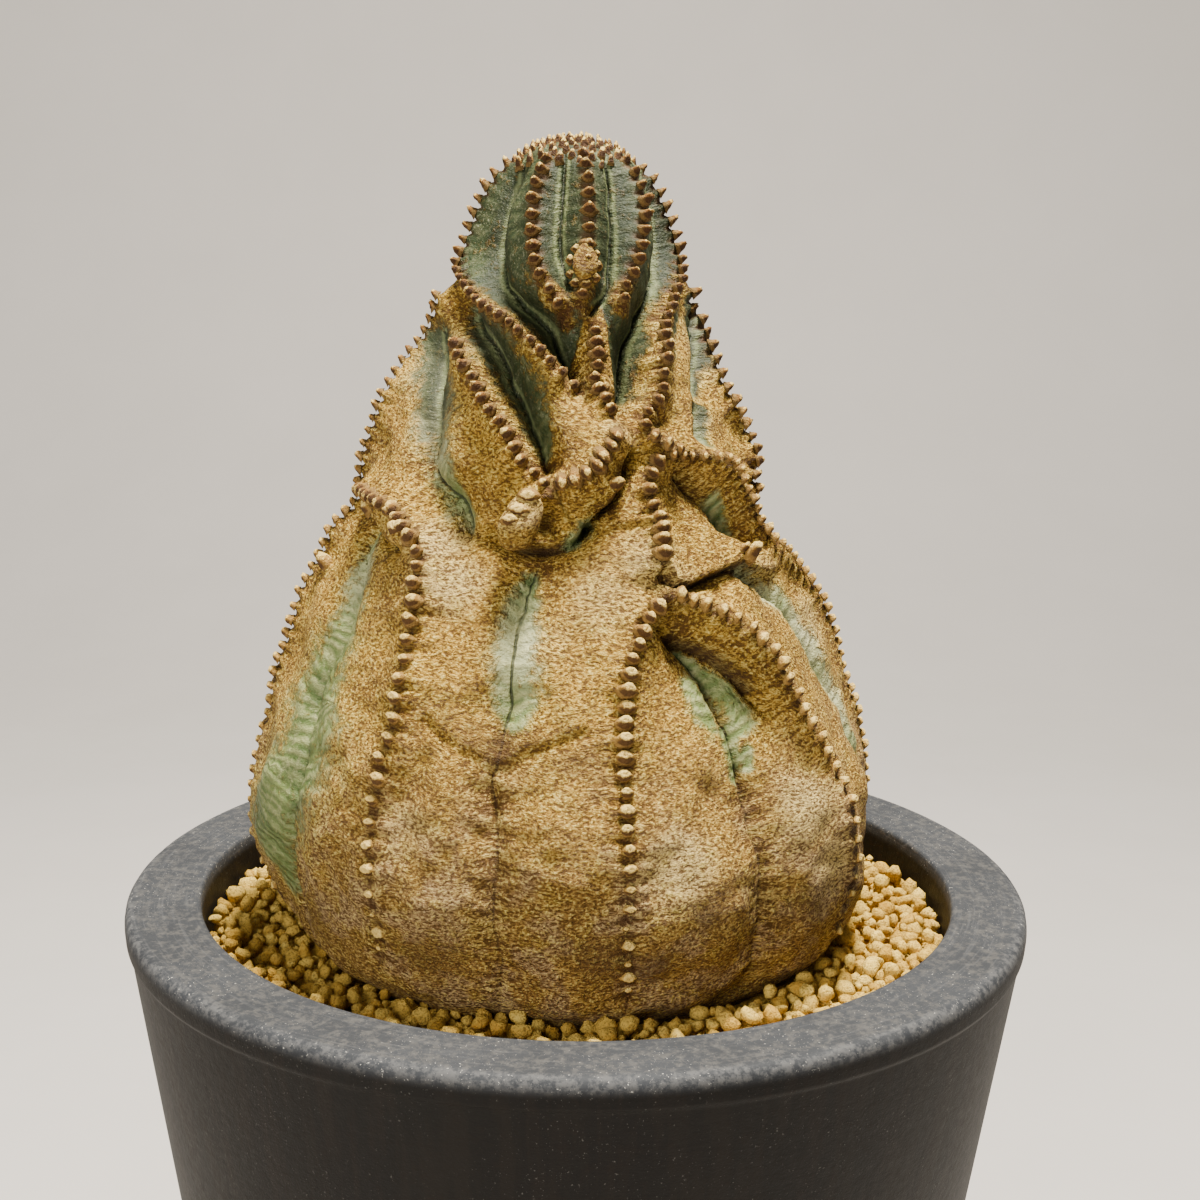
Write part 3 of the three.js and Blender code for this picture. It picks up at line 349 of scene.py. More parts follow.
# The rows of tubercles: how many, their size, how high the rib under them is at its two ends, how wide
# it is, how much the row is spread out downwards, and its path as (azimuth, height).
ROWS = {
    "left": (48, 0.85, (1.7, 1.5), 4, 0.15, [
        (-86, 97), (-87, 88), (-85, 80), (-85, 73), (-86, 67), (-87, 60), (-88, 54), (-87, 46),
        (-85, 36), (-85, 25), (-82, 15), (-80, 7), (-80, 0),
    ]),
    "frontLeft": (31, 1.05, (2.8, 0.7), 3.4, 0.3, [
        (-73, 67.5), (-60, 67.2), (-50, 66.4), (-43.4, 64.2), (-36, 61), (-32.6, 58), (-31.4, 52),
        (-30.6, 46), (-30.6, 40), (-32, 34), (-33.2, 26), (-32.4, 18), (-32.2, 10), (-34.6, 2),
    ]),
    "front": (24, 1.05, (2, 0.5), 3.6, 0.2, [
        (23.5, 54.6), (19, 51.8), (15.5, 47.5), (13, 42), (12, 36), (11, 28), (11, 20), (10.5, 10),
        (11, -1),
    ]),
    "frontRight": (25, 0.95, (4, 1.2), 3, 0.2, [
        (26, 55.6), (33, 54), (39, 51.6), (44, 48.2), (47.8, 44.8), (49, 41), (50.8, 37), (53.6, 33.4),
        (56, 29), (58.2, 24.6), (58, 19), (59, 12), (59.4, 6), (59, 0),
    ]),
    "right": (44, 0.85, (2.8, 1.4), 3.2, 0.1, [
        (33, 75.6), (42, 75.2), (51, 74.5), (59.6, 72.8), (65, 70.2), (68.4, 66.6), (70, 62.8),
        (74, 59.6), (80, 56.8), (86, 52.6), (91, 46), (94, 38), (97, 28), (102, 14), (105, 2),
    ]),
    "column": (9, 1.05, (2.2, 2), 3, 0, [
        (32, 75.4), (27, 73.2), (25, 70.6), (26.2, 66.6), (26, 62.6), (24.8, 59.8), (25.8, 57.5),
    ]),
    "vLeft": (13, 1, (2.6, 3.4), 2.6, 0, [
        (-45, 91), (-37, 88.2), (-30, 85.8), (-24.5, 83.2), (-16, 79.6), (-10, 75.6), (-2, 71.2),
    ]),
    "vRight": (7, 1.05, (3.2, 3), 2.6, 0, [
        (0, 71.8), (5, 72.5), (10, 73.8), (14, 76.6), (17, 79),
    ]),
    "headLeft": (24, 0.8, (1.2, 3), 2.4, 0, [
        (-80, 118.6), (-83, 114), (-86, 109), (-84, 105), (-77, 102), (-64, 100), (-47, 97.4),
        (-30, 95), (-18, 92.8), (-7, 90), (0, 87.7), (7, 86),
    ]),
    "headFrontLeft": (11, 0.8, (0.9, 2.4), 2.2, 0, [
        (-27, 119.6), (-24.6, 116.4), (-24, 113), (-21.4, 109.4), (-18.6, 106), (-15, 102.8),
        (-10.8, 100), (-4.6, 97.6), (0, 96),
    ]),
    "headFront": (10, 0.8, (0.9, 1.6), 2.2, 0, [
        (11, 120.4), (10.5, 116), (10, 110), (8, 104), (6.5, 97),
    ]),
    "neck": (8, 0.95, (1.8, 2.2), 2.2, 0, [
        (13, 94.2), (13, 90), (12.5, 86), (17, 81.6),
    ]),
    "headFrontRight": (11, 0.8, (0.9, 2.4), 2.2, 0, [
        (57, 119.4), (52.4, 115.4), (50.2, 112.4), (45.8, 109.8), (41, 107), (36, 104), (30.4, 101),
        (25, 98.8), (25.2, 96.6),
    ]),
    "headRight": (26, 0.85, (1.2, 3.2), 2.4, 0, [
        (92, 118.4), (92, 112), (90, 107), (83, 103.6), (73, 101), (62, 98.6), (55, 96.6),
        (46, 94), (40.6, 91.2), (36.8, 87.6), (34.4, 84.4), (29.4, 82.2), (26.6, 80.4), (28, 78.4),
        (39, 75.8),
    ]),
    "shoulder": (16, 0.9, (2.2, 1), 2.6, 0, [
        (92, 99), (90, 94.4), (84, 90.6), (81, 87), (81, 83.4), (84, 80), (88, 76.4), (85, 73),
        (80, 70.4), (81, 66.6),
    ]),
    "backRight": (50, 0.9, (1.2, 1.6), 3.4, 0.2, [
        (128, 118.6), (129, 110), (126, 101), (121, 92), (123, 82), (131, 73), (138, 64),
        (143, 52), (146, 38), (144, 24), (141, 11), (140, -1),
    ]),
    "headBack": (18, 0.85, (1.2, 2), 2.6, 0, [
        (167, 119), (168, 110), (165, 101), (160, 92), (161, 84), (166, 78), (174, 74),
    ]),
    "back": (32, 0.95, (2, 1.2), 3.6, 0.2, [
        (176, 66), (183, 62), (187, 54), (188, 43), (186, 31), (184, 18), (187, 7), (188, -1),
    ]),
    "headBackLeft": (21, 0.85, (1.2, 2.4), 2.8, 0, [
        (206, 118.8), (205, 110), (207, 101), (212, 93), (209, 85), (201, 79), (192, 75),
        (182, 73),
    ]),
    "backLeft": (48, 0.9, (1.2, 1.6), 3.4, 0.2, [
        (241, 118.6), (240, 110), (242, 101), (246, 92), (244, 82), (239, 73), (233, 63),
        (229, 52), (230, 38), (233, 25), (232, 12), (230, 0),
    ]),
}

# Creases run down the valleys between the ribs: the depth of the cleft at its two ends and its width,
# the depth of the hollow round it at its two ends and its reach, and its path.
CREASES = {
    "leftLower": ((2.4, 1.1), 0.8, (2.4, 1.5), 6, [
        (-71, 63), (-69, 60), (-63.6, 56), (-60, 51.6), (-58.6, 46.6), (-60, 42), (-61.4, 37), (-59, 31),
        (-57.4, 25), (-57.8, 17), (-60.2, 9.6), (-64, 1),
    ]),
    "frontLower": ((1.6, 0.5), 0.7, (1.6, 1.4), 6, [
        (-4.9, 60), (-6.6, 56), (-7.9, 52.6), (-8.6, 45.4), (-10, 38.6), (-10.8, 34.4), (-12.4, 31.6),
        (-10.6, 25.2), (-10.4, 19), (-11, 12), (-10.8, 5), (-12, -3),
    ]),
    "frontRightLower": ((2.4, 0.8), 0.8, (2.4, 1.7), 6, [
        (29.2, 51.2), (32.4, 47), (34, 43.2), (34.5, 40), (35.1, 36.6), (35.1, 31.7), (35.6, 25),
        (36.4, 16.4), (36.2, 6), (37.6, -3),
    ]),
    "rightLower": ((1.8, 1), 0.9, (1.2, 1.3), 5, [
        (52, 58), (62, 55.2), (69, 51.2), (73, 46), (75.6, 40.8), (78.4, 35.6), (79.6, 29), (81, 20),
        (84, 10), (86, 0),
    ]),
    "rightMiddle": ((2.4, 2.4), 0.9, (2.4, 2.6), 3.6, [
        (42, 72.6), (46, 70.6), (52, 67.7), (56.4, 64.8), (62.6, 61.4),
    ]),
    "rightSlit": ((2, 2), 0.8, (1.4, 1.4), 2.6, [
        (58.4, 82.2), (53.7, 77.4),
    ]),
    "vLeft": ((2.4, 4), 0.8, (2.6, 4.4), 3.4, [
        (-66, 96.8), (-51, 95.2), (-36, 92.4), (-24.4, 88.4), (-17.6, 85.3), (-11.3, 81.6),
        (-5.5, 77.1), (-3.3, 74.2),
    ]),
    "leftUpper": ((1.2, 2.6), 0.8, (1, 3), 4, [
        (-76, 92.6), (-68.6, 90.6), (-58.8, 87.2), (-51.6, 83.2), (-48, 78.8), (-45.2, 75.2),
        (-41.4, 71.8), (-32, 68.8), (-27.6, 65.4),
    ]),
    "headLeft": ((1.1, 4), 0.6, (0.9, 4), 3, [
        (-56, 119), (-58, 113), (-56, 107.4), (-45.6, 102.2), (-34, 99), (-20, 97.2), (-8.4, 95.2),
        (-1.6, 92), (3, 89), (7, 86.2),
    ]),
    "headFront": ((1, 1.6), 0.6, (0.8, 1.6), 2.8, [
        (-10, 120), (-8, 113), (-7, 107), (-4, 103.4), (2, 100),
    ]),
    "headFrontRight": ((1, 1.6), 0.6, (0.8, 1.6), 2.8, [
        (30, 119.6), (31, 115), (28, 109), (23.5, 103), (18, 98.6), (12, 96.6),
    ]),
    "headRight": ((0.7, 3.8), 0.6, (0.5, 3.8), 3, [
        (80, 119.4), (80, 113), (76, 107), (63, 102.2), (51, 98.2), (38.6, 95.4), (30.4, 92), (25.6, 86.4),
        (22.4, 83.2),
    ]),
    "rightUpper": ((1.4, 1.8), 0.8, (1.6, 1.8), 3.4, [
        (90, 96), (79, 91.6), (69, 87), (62.6, 84.4),
    ]),
    "headBackRight": ((1.2, 2), 0.7, (1, 2), 3, [
        (108, 119.4), (109, 110), (107, 101), (103, 92), (104, 82), (108, 74),
    ]),
    "backRightLower": ((2, 1.1), 0.9, (2.4, 1.6), 7, [
        (112, 62), (118, 52), (122, 40), (123, 26), (122, 12), (121, -3),
    ]),
    "headBack": ((1.2, 2), 0.7, (1, 2), 3, [
        (147, 119.6), (148, 110), (146, 101), (142, 91), (145, 82), (151, 73),
    ]),
    "backLower": ((2, 1.1), 0.9, (2.4, 1.6), 7, [
        (158, 66), (164, 54), (167, 41), (166, 27), (163, 13), (164, -3),
    ]),
    "headBackLeft": ((1.2, 2), 0.7, (1, 2), 3, [
        (187, 119.6), (187, 110), (186, 101), (186, 92), (184, 84), (181, 77),
    ]),
    "backLeftLower": ((2, 1.1), 0.9, (2.4, 1.6), 7, [
        (206, 68), (209, 55), (208, 42), (210, 28), (209, 13), (208, -3),
    ]),
    "headSideLeft": ((1.2, 2), 0.7, (1, 2), 3, [
        (223, 119.4), (223, 110), (225, 101), (229, 92), (227, 83), (221, 75),
    ]),
    "headFarLeft": ((1.2, 2), 0.7, (1, 2), 3, [
        (257, 119), (256, 110), (258, 101), (262, 92), (260, 82), (257, 72),
    ]),
    "leftBackLower": ((2, 1.1), 0.9, (2.4, 1.6), 7, [
        (255, 64), (253, 53), (252, 40), (254, 27), (253, 13), (252, -3),
    ]),
}

# A fold is a slit whose upper lip hangs over it: how far the lip stands out, the slit's depth, how far
# the lip droops over it, and its path.
FOLDS = [
    (2.4, 3, 1.2, [(-18, 64.8), (-12, 63.6), (-6, 63), (1, 63.2), (6, 64.4), (9, 66.1)]),
    (1.2, 3.8, 0.4, [(9, 66.1), (12, 67.8), (16, 69.4), (19, 72.4), (22, 75.8)]),
    (2, 2.8, 1, [(25, 58.4), (30, 56.8), (42, 58), (55, 58.6), (66, 56)]),
    (0.3, 0.6, 0.1, [
        (-25, 39), (-21.6, 37), (-17.4, 35.5), (-13.8, 34.5), (-10.7, 33.6), (-7.4, 35), (-3, 36.3),
        (5, 38.4),
    ]),
    (1.8, 2.6, 0.8, [(-66, 64.6), (-53, 61.8), (-44, 60.6)]),
    (1.6, 2.6, 1, [(23.6, 52.4), (27, 51.4), (32, 50), (37, 47.8), (40.4, 45.4), (43, 42.4), (45, 39.4)]),
    (1.2, 1.8, 0.6, [(-34, 99.8), (-19, 98), (-8, 96.4), (3, 95), (9, 94.6)]),
    (2, 2.4, 1, [(152, 71), (164, 70), (176, 69.6), (190, 69), (203, 70)]),
    (1.4, 1.8, 0.6, [(196, 48), (206, 45.6), (217, 47)]),
    (1.4, 1.8, 0.6, [(104, 68), (116, 67), (126, 69)]),
]
FOLD_REACH = 3.6
# The distance of a point that no row, crease or fold is near to.
FAR = 30.0

# Swellings and dimples: azimuth, height, radius, and how far out (negative sinks in).
SWELLINGS = [
    (-8, 67.4, 3.4, 0.8), (-2.6, 66.4, 1.9, -0.9), (-14, 66.6, 2, -0.7), (53.6, 59.6, 2.6, 2.2),
    (-81, 96.4, 3.6, 1.2), (-88, 58.6, 3.4, 1.5), (-68, 61, 3, -1.4), (92, 95.6, 3.4, 1.3),
    (94, 67, 2.4, -1.2), (-80, 62, 8, 0.8), (23, 65.4, 5, 1.5), (11, 60, 6, 0.8), (46, 66, 6, 1.2),
    (47, 54, 4, 1.4), (29.4, 48.8, 3.4, -1.6), (35.6, 45.4, 3.6, -1.4), (42, 40, 4.2, -1),
    (19.4, 74.2, 1.6, -1.6), (4, 105, 8, 1.2), (7, 102.8, 2.4, 0.8), (-14, 101, 5, 1), (8, 99, 4, 0.8),
    (11, 91.6, 4.5, -1.4), (-20, 46, 7, 0.9), (2, 46, 7, 0.8), (-19, 27, 6, 1), (-1, 27, 6, 1),
    (-13, 33, 2.2, 0.6), (-12, 24, 3, -1.2), (28, 28.4, 3.2, -1.2), (-24, 12, 12, 1), (1, 12, 10, 0.9),
    (23, 14, 11, 1), (50, 14, 13, 1.2), (-66, 14, 13, 0.6), (170, 62, 7, 1.4), (199, 74, 5, 1.6),
    (142, 12, 14, 1), (186, 14, 14, 1), (231, 12, 14, 1),
]
# Puckers, where wrinkles run together like spokes into a dimple: azimuth, height, radius and depth.
PUCKERS = [
    (-10.5, 25, 6, 0.5), (27.5, 28.4, 5.5, 0.5), (-10.5, 34.6, 5, 0.4), (25.5, 55, 5, 0.4),
    (-20, 63.6, 5.5, 0.6), (2, 7, 6, 0.3), (32.5, 7, 6, 0.3), (120, 30, 6, 0.4), (166, 24, 6, 0.5),
    (209, 28, 6, 0.5), (252, 30, 6, 0.4),
]


def smooth_line(points, steps):
    """Points along uniform Catmull-Rom cubics through the given ones."""
    points = np.asarray(points, float)
    t = np.linspace(0, len(points) - 1, steps + 1)
    first = np.minimum(t.astype(int), len(points) - 2)
    w = (t - first)[:, None]
    a, b, c, d = (points[np.clip(first + k, 0, len(points) - 1)] for k in (-1, 0, 1, 2))
    leave, arrive = (c - a) / 2, (d - b) / 2
    return ((2 * b - 2 * c + leave + arrive) * w + 3 * (c - b) - 2 * leave - arrive) * w * w + leave * w + b


def bell(distance, width):
    """1 at no distance, 0.37 at the width, and 0 far off."""
    return np.exp(-((distance / width) ** 2))


def step(value, low, high):
    """A smooth step from 0 to 1 as the value goes from low to high."""
    share = np.clip((value - low) / (high - low), 0, 1)
    return share * share * (3 - 2 * share)


outline_line = smooth_line(OUTLINE, 360)


def plain_point(azimuth, height):
    """The body before ribs and creases: x = lean + radius sin azimuth, y = -radius cos azimuth."""
    angle = np.radians(azimuth)
    radius = np.interp(height, outline_line[:, 1], np.maximum(outline_line[:, 0], 0))
    return stacked(np.interp(height, *LEAN.T) + radius * np.sin(angle), -radius * np.cos(angle), height)


def outward(azimuth, height):
    """The plain body's outward direction: round it crossed with up along it."""
    angle = np.radians(azimuth)
    upper, lower = np.minimum(height + 0.4, CROWN_HEIGHT - 0.1), height - 0.4
    up = plain_point(azimuth, upper) - plain_point(azimuth, lower)
    return unit(np.cross(stacked(np.cos(angle), np.sin(angle), 0), up))


def closed_faces(rows, columns, copies=1, outward=True):
    """Faces of closed surfaces, each a grid whose first and last rows run in to a pole. Its two poles'
    numbers follow the grid's, and each copy's numbers follow those of the copy before."""
    count, ring = rows * columns, np.arange(columns)
    following, last = np.roll(ring, -1), count - columns
    left, right = (ring, following) if outward else (following, ring)
    caps = np.vstack([stacked(right, left, count), stacked(left + last, right + last, count + 1)])
    sides = grid_faces(rows, columns)[:, :: 1 if outward else -1]
    starts = (np.arange(copies) * (count + 2))[:, None, None]
    return [(part + starts).reshape(-1, part.shape[1]) for part in (sides, caps)]


def traced(path):
    """A path of (azimuth, height) as places and as points on the plain body."""
    places = smooth_line(path, (len(path) - 1) * 4)
    return places, plain_point(*places.T)


def lengths(line):
    """The length along a line of points, up to each of them."""
    return np.concatenate([[0], np.cumsum(np.linalg.norm(np.diff(line, axis=0), axis=1))])


def bells(points, places):
    """For each place (azimuth, height, radius, strength): a bell round it, times its strength."""
    return [
        strength * bell(np.linalg.norm(points - plain_point(azimuth, height), axis=1), radius)
        for azimuth, height, radius, strength in places
    ]


def near(points, out, line, reach):
    """For the points within reach of a line: their numbers, distance, length along the line to the
    nearest place on it, its whole length, the offset from that place, and their side of it (+1 or -1)."""
    inside = (points > line.min(0) - reach) & (points < line.max(0) + reach)
    picked = np.flatnonzero(inside.all(-1))
    p = points[picked]
    distance = np.full(len(p), np.inf)
    along, side, offset = np.zeros(len(p)), np.ones(len(p)), np.zeros((len(p), 3))
    length = 0
    for start, end in zip(line[:-1], line[1:]):
        stretch = end - start
        size = np.linalg.norm(stretch)
        share = np.clip((p - start) @ stretch / size**2, 0, 1)
        off = p - start - share[:, None] * stretch
        far = np.sqrt(np.einsum("ij,ij->i", off, off))
        new = far < distance
        distance[new], offset[new], along[new] = far[new], off[new], length + share[new] * size
        side[new] = np.sign(np.einsum("ij,ij->i", np.cross(out[picked[new]], stretch), off[new]))
        length += size
    return picked, distance, along, length, offset, np.where(side == 0, 1, side)


def keep_nearest(kept, picked, away, *values):
    """Writes a distance (with its side of the line as its sign) and other values for those of the
    picked points that have a larger distance so far."""
    closer = np.abs(away) < np.abs(kept[picked, 0])
    kept[picked[closer]] = stacked(away, *values)[closer]


def row_number(share, count, spread):
    """Which tubercle of a row stands at a share of its length: the row's spacing grows evenly, from
    (1 - spread) to (1 + spread) times the mean."""
    if spread:
        share = (np.sqrt((1 - spread) ** 2 + 4 * spread * share) - 1 + spread) / (2 * spread)
    return share * count


def skin(azimuth, height):
    """Points on the skin, with the rib, the crease and the fold that are nearest to each of them.

    The plain point moves outwards by the highest rib (a bell across its row) less the deepest cleft
    (exponential), less the deepest hollow (a bell), with lips and slits at folds, bells at swellings,
    spokes at puckers, bands across a crease, a pad under each tubercle, a wrinkle between two, and
    uneven skin. A fold's lip also moves towards its slit. All fade out in the grit and on the crown."""
    point, out = plain_point(azimuth, height), outward(azimuth, height)
    count = len(point)
    crest, groove, hollow, folded = (np.zeros(count) for _ in range(4))
    slide = np.zeros((count, 3))
    rib, crease, fold = (np.tile([FAR, 0, 0, 0], (count, 1)) for _ in range(3))
    low = 1 - step(height, 26, 46)
    wavy = point + 0.4 * np.stack([unevenness(point, 3.2, seed) for seed in (21, 22, 23)], -1)
    for tubercles, size, (top, bottom), width, spread, path in ROWS.values():
        picked, distance, along, length, _, side = near(point, out, traced(path)[1], 12)
        share = along / length
        number = row_number(share, tubercles, spread)
        on = 0.5 - 0.5 * np.cos(2 * np.pi * number)
        rise = top + (bottom - top) * share
        crest[picked] = np.maximum(crest[picked], rise * bell(distance, width))
        pad = 0.6 * on * bell(distance, 1.7 * size) - 0.4 * (1 - on) ** 2 * bell(distance, 4)
        pad -= low[picked] * (0.7 + 0.3 * on) * bell(distance, 1.4)
        keep_nearest(rib, picked, side * distance, number, bell(distance, 4), pad)
    for (deep_top, deep_bottom), wide, (dip_top, dip_bottom), reach, path in CREASES.values():
        picked, distance, along, length, _, side = near(wavy, out, traced(path)[1], 20)
        share = along / length
        deep = (deep_top + (deep_bottom - deep_top) * share) * (1 + 0.5 * unevenness(point[picked], 6, 8))
        dip = dip_top + (dip_bottom - dip_top) * share
        cleft = deep * np.exp(-(np.hypot(distance, 0.2) - 0.2) / wide)
        groove[picked] = np.maximum(groove[picked], cleft)
        hollow[picked] = np.maximum(hollow[picked], dip * bell(distance, reach))
        band = 0.14 * np.sin(3 * along + 4 * unevenness(point[picked], 4, 7)) * bell(distance - 1.8, 1.6)
        keep_nearest(crease, picked, side * distance, along, bell(distance, 3.5), band)
    for lift, deep, droop, path in FOLDS:
        picked, distance, along, length, offset, _ = near(point, out, traced(path)[1], 14)
        above = offset[:, 2] >= 0
        lip = lift * np.exp(-distance / FOLD_REACH) * np.minimum(distance / 0.7, 1)
        lip -= deep * bell(distance, 0.45)
        slit = deep * (0.5 * bell(distance, FOLD_REACH / 2) + 0.5 * bell(distance, 0.7))
        ends = step(along, 0, 3) * step(length - along, 0, 3)
        shade = min(0.5 + 0.25 * deep, 1)
        wrinkle = (0.1 + 0.06 * lift) * np.sin(distance * 4 + 3 * unevenness(point[picked], 5, 9))
        folded[picked] += np.where(above, lip, -slit)
        folded[picked] += ends * wrinkle * np.exp(-distance / 4.5)
        pull = ends * np.where(above, np.minimum(droop * np.exp(-distance / 1.8), 0.8 * distance), 0)
        slide[picked] -= offset * (pull / np.maximum(distance, 0.01))[:, None]
        keep_nearest(fold, picked, distance, along, shade * ends * np.exp(-distance / 4), 0)
    swollen = sum(bells(point, SWELLINGS))
    for place_azimuth, place_height, radius, rise in PUCKERS:
        offset = point - plain_point(place_azimuth, place_height)
        far = np.linalg.norm(offset, axis=1)
        turn = np.arctan2(offset[:, 2], np.hypot(offset[:, 0], offset[:, 1]) * np.sign(offset[:, 0] + 1e-9))
        spokes = np.cos(11 * turn + 3 * unevenness(point, 3, 10))
        swollen += rise * (0.6 * spokes * far / radius - 0.6) * bell(far, radius * 0.7)
    old = 1 - step(height, 88, 98)
    uneven = 0.9 * unevenness(point, 12, 1) + 0.7 * unevenness(point, 6, 2) + 0.3 * unevenness(point, 3, 3)
    uneven += 0.2 * unevenness(point * (0.5, 0.5, 1.1), 1.7, 4) + 0.1 * unevenness(point, 1.5, 5)
    rise = crest - groove - hollow + rib[:, 3] + folded + swollen
    rise = rise + crease[:, 3] * (0.3 + 0.7 * old) + uneven * (0.1 + 0.9 * old)
    shown = step(height, -14.5, -4.5) * (1 - step(height, 115, 120.6))
    moved = point + out * (shown * rise)[:, None] + slide * shown[:, None]
    return moved, {"rib": rib[:, :3], "crease": crease[:, :3], "fold": fold[:, :3]}


# The crease and the row of tubercles of each lower rib, in order round the plant, and how many of the
# grid's columns lie between the two where they face the front and elsewhere.
LOWER_RIBS = [
    ("frontLower", "front"), ("frontRightLower", "frontRight"), ("rightLower", "right"),
    ("backRightLower", "backRight"), ("backLower", "back"), ("backLeftLower", "backLeft"),
    ("leftBackLower", "left"), ("leftLower", "frontLeft"),
]
FRONT_COLUMNS = 34
OTHER_COLUMNS = 18
FIRST_AZIMUTH = -8
BURIED_RINGS = 7
SHOWN_RINGS = 232


def column_azimuths(height):
    """The azimuth of every column of the skin's grid at each height. The columns follow the lower ribs
    and the creases between them, and are evenly spaced above."""
    guides = [path for crease, row in LOWER_RIBS for path in (CREASES[crease][-1], ROWS[row][-1])]
    width = 360 / len(guides)
    ribbed = []
    for number, path in enumerate(guides):
        line = smooth_line(path, 60)
        line = line[np.argsort(line[:, 1])]
        found = np.interp(np.clip(height, 3, 52), line[:, 1], line[:, 0])
        ribbed.append(found + 360 * np.round((number * width + FIRST_AZIMUTH - found) / 360))
    ribbed.append(ribbed[0] + 360)
    evenness = step(height, 44, 66)
    columns = []
    for number, (start, end) in enumerate(zip(ribbed[:-1], ribbed[1:])):
        faces_front = number < 4 or number > 11
        for share in np.linspace(0, 1, FRONT_COLUMNS if faces_front else OTHER_COLUMNS, endpoint=False):
            even = (number + share) * width + FIRST_AZIMUTH
            columns.append((start + (end - start) * share) * (1 - evenness) + even * evenness)
    return np.stack(columns, -1)


def ring_heights():
    """Heights of the grid's rings: a few in the grit, then by length along the outline, a third
    closer together where the folds are."""
    run = lengths(outline_line)
    surface = np.interp(-10, outline_line[:, 1], run)
    root = np.interp(np.linspace(0.3, surface, BURIED_RINGS, endpoint=False), run, outline_line[:, 1])
    fine = np.linspace(surface, run[-1] - 0.3, 2000)
    heights = np.interp(fine, run, outline_line[:, 1])
    weight = np.cumsum(1 + 0.35 * bell(heights - 76, 26))
    return np.concatenate([root, np.interp(np.linspace(weight[0], weight[-1], SHOWN_RINGS), weight, heights)])


# Grey-green skin shows along the creases and on the head: windows as (azimuth, height, half width).
WINDOWS = [
    [(-67, 62, 2.2), (-64, 58, 3.4), (-60, 53.6, 4.2), (-58, 48.6, 5), (-59, 43.4, 6.8), (-59.5, 37.6, 8.8),
     (-57.6, 32.6, 9.4), (-59, 27, 9.6), (-63, 22, 9.6), (-65.6, 17.6, 9), (-66, 12.4, 7), (-66, 7, 3.4)],
    [(-6, 59.2, 1.4), (-7, 56.4, 2.4), (-8, 53, 2.9), (-7.5, 46, 3.1), (-8.5, 42.6, 3.8), (-8, 40, 2)],
    [(31.4, 48.6, 1), (32.8, 46.8, 1.6), (35.8, 44.4, 2.2), (38, 41.2, 2.6), (38.2, 38.4, 2.3),
     (36.4, 36.9, 1.3)],
    [(29, 43.9, 1.8), (29.8, 41, 2.4), (30.8, 38.4, 2.1)],
    [(33.6, 37, 1.4), (34.4, 33.4, 1.8), (33.8, 30.6, 1)],
    [(37.2, 33.6, 1.2), (37.4, 31.7, 0.8)],
    [(56, 57.6, 1.2), (63, 55, 2.2), (69.4, 51.4, 3), (73.4, 46, 3.4), (76, 40.8, 3.6), (79, 35.6, 3.6),
     (80, 30, 3.2), (81, 25, 2)],
    [(91, 97, 2), (82, 93, 3), (72.5, 89, 2.8), (63.6, 84.8, 1.6)],
    [(60, 81.8, 1.5), (55, 77.4, 1.5)],
    [(56, 68, 1.3), (61, 62.6, 1.2)],
    [(4, 63.8, 1.2), (9, 66, 1.2)],
    [(-76, 91.4, 3), (-62, 87.6, 4.8), (-52, 83.4, 4.8), (-45.4, 79, 4.2), (-40.8, 75.4, 3.4),
     (-36.8, 72.2, 2.6), (-31, 68.6, 2.4), (-26.6, 66.2, 1.5)],
    [(-62, 97, 2), (-46, 94.6, 2.4), (-31, 91.8, 3), (-17, 87.4, 3.4), (-10, 84, 3.2), (-5.6, 80, 2.4),
     (-3.6, 76.6, 1.2)],
    [(117, 54, 1.4), (121, 40, 3), (122, 26, 2.4)],
    [(164, 58, 1.2), (167, 42, 3), (166, 30, 2)],
    [(208, 58, 1.6), (209, 44, 3.4), (209, 30, 2.6)],
    [(253, 58, 1.8), (252, 44, 4), (253, 28, 4.4), (252, 14, 3)],
]
# Below this edge of the green head, as (azimuth, height), the skin is tan but for the windows.
HEAD_EDGE = [
    (-92, 103), (-82, 100), (-69, 98.4), (-49, 96), (-31, 93.6), (-17.5, 91), (-5.5, 89), (3.5, 90),
    (9, 96), (17, 97), (22, 86), (29.5, 82.6), (37, 84), (49, 91), (60, 94.6), (74, 97.6), (86, 101),
    (100, 100), (140, 92), (180, 90), (220, 92), (250, 97), (268, 103),
]
# Brown stains, with painted shade under the smile fold's bulge and in the dimples by the bulb; then cream
# # scuffs with painted highlights on lit flanks; each as (azimuth, height, radius, strength).
STAINS_AND_SHADE = [
    (6, 6.8, 5, 0.8), (14, 5.4, 4, 0.9), (0, 7.7, 4, 0.5), (25.5, 13, 5, 0.6), (-10.5, 18, 5, 0.5),
    (45, 8, 9, 0.5), (-23.5, 4, 9, 0.6), (68, 12, 10, 0.4), (-11, 26, 4, 0.4), (27.5, 29, 4, 0.4),
    (31, 50, 3, 0.3), (19.4, 73.6, 1.8, 0.9), (-33.5, 70, 4, 0.3), (-51, 4, 12, 0.5), (-21, 39, 3, 0.5),
    (-16, 37.2, 3.2, 0.7), (-10.6, 35.6, 3.4, 0.8), (-4.4, 37.2, 3, 0.5), (2, 38.6, 2.6, 0.4),
    (-2.4, 66.2, 1.6, 0.8), (-14, 65, 1.6, 0.6), (-9, 62.6, 1.6, 0.5), (120, 6, 20, 0.5),
    (180, 8, 20, 0.5), (240, 6, 20, 0.5),
]
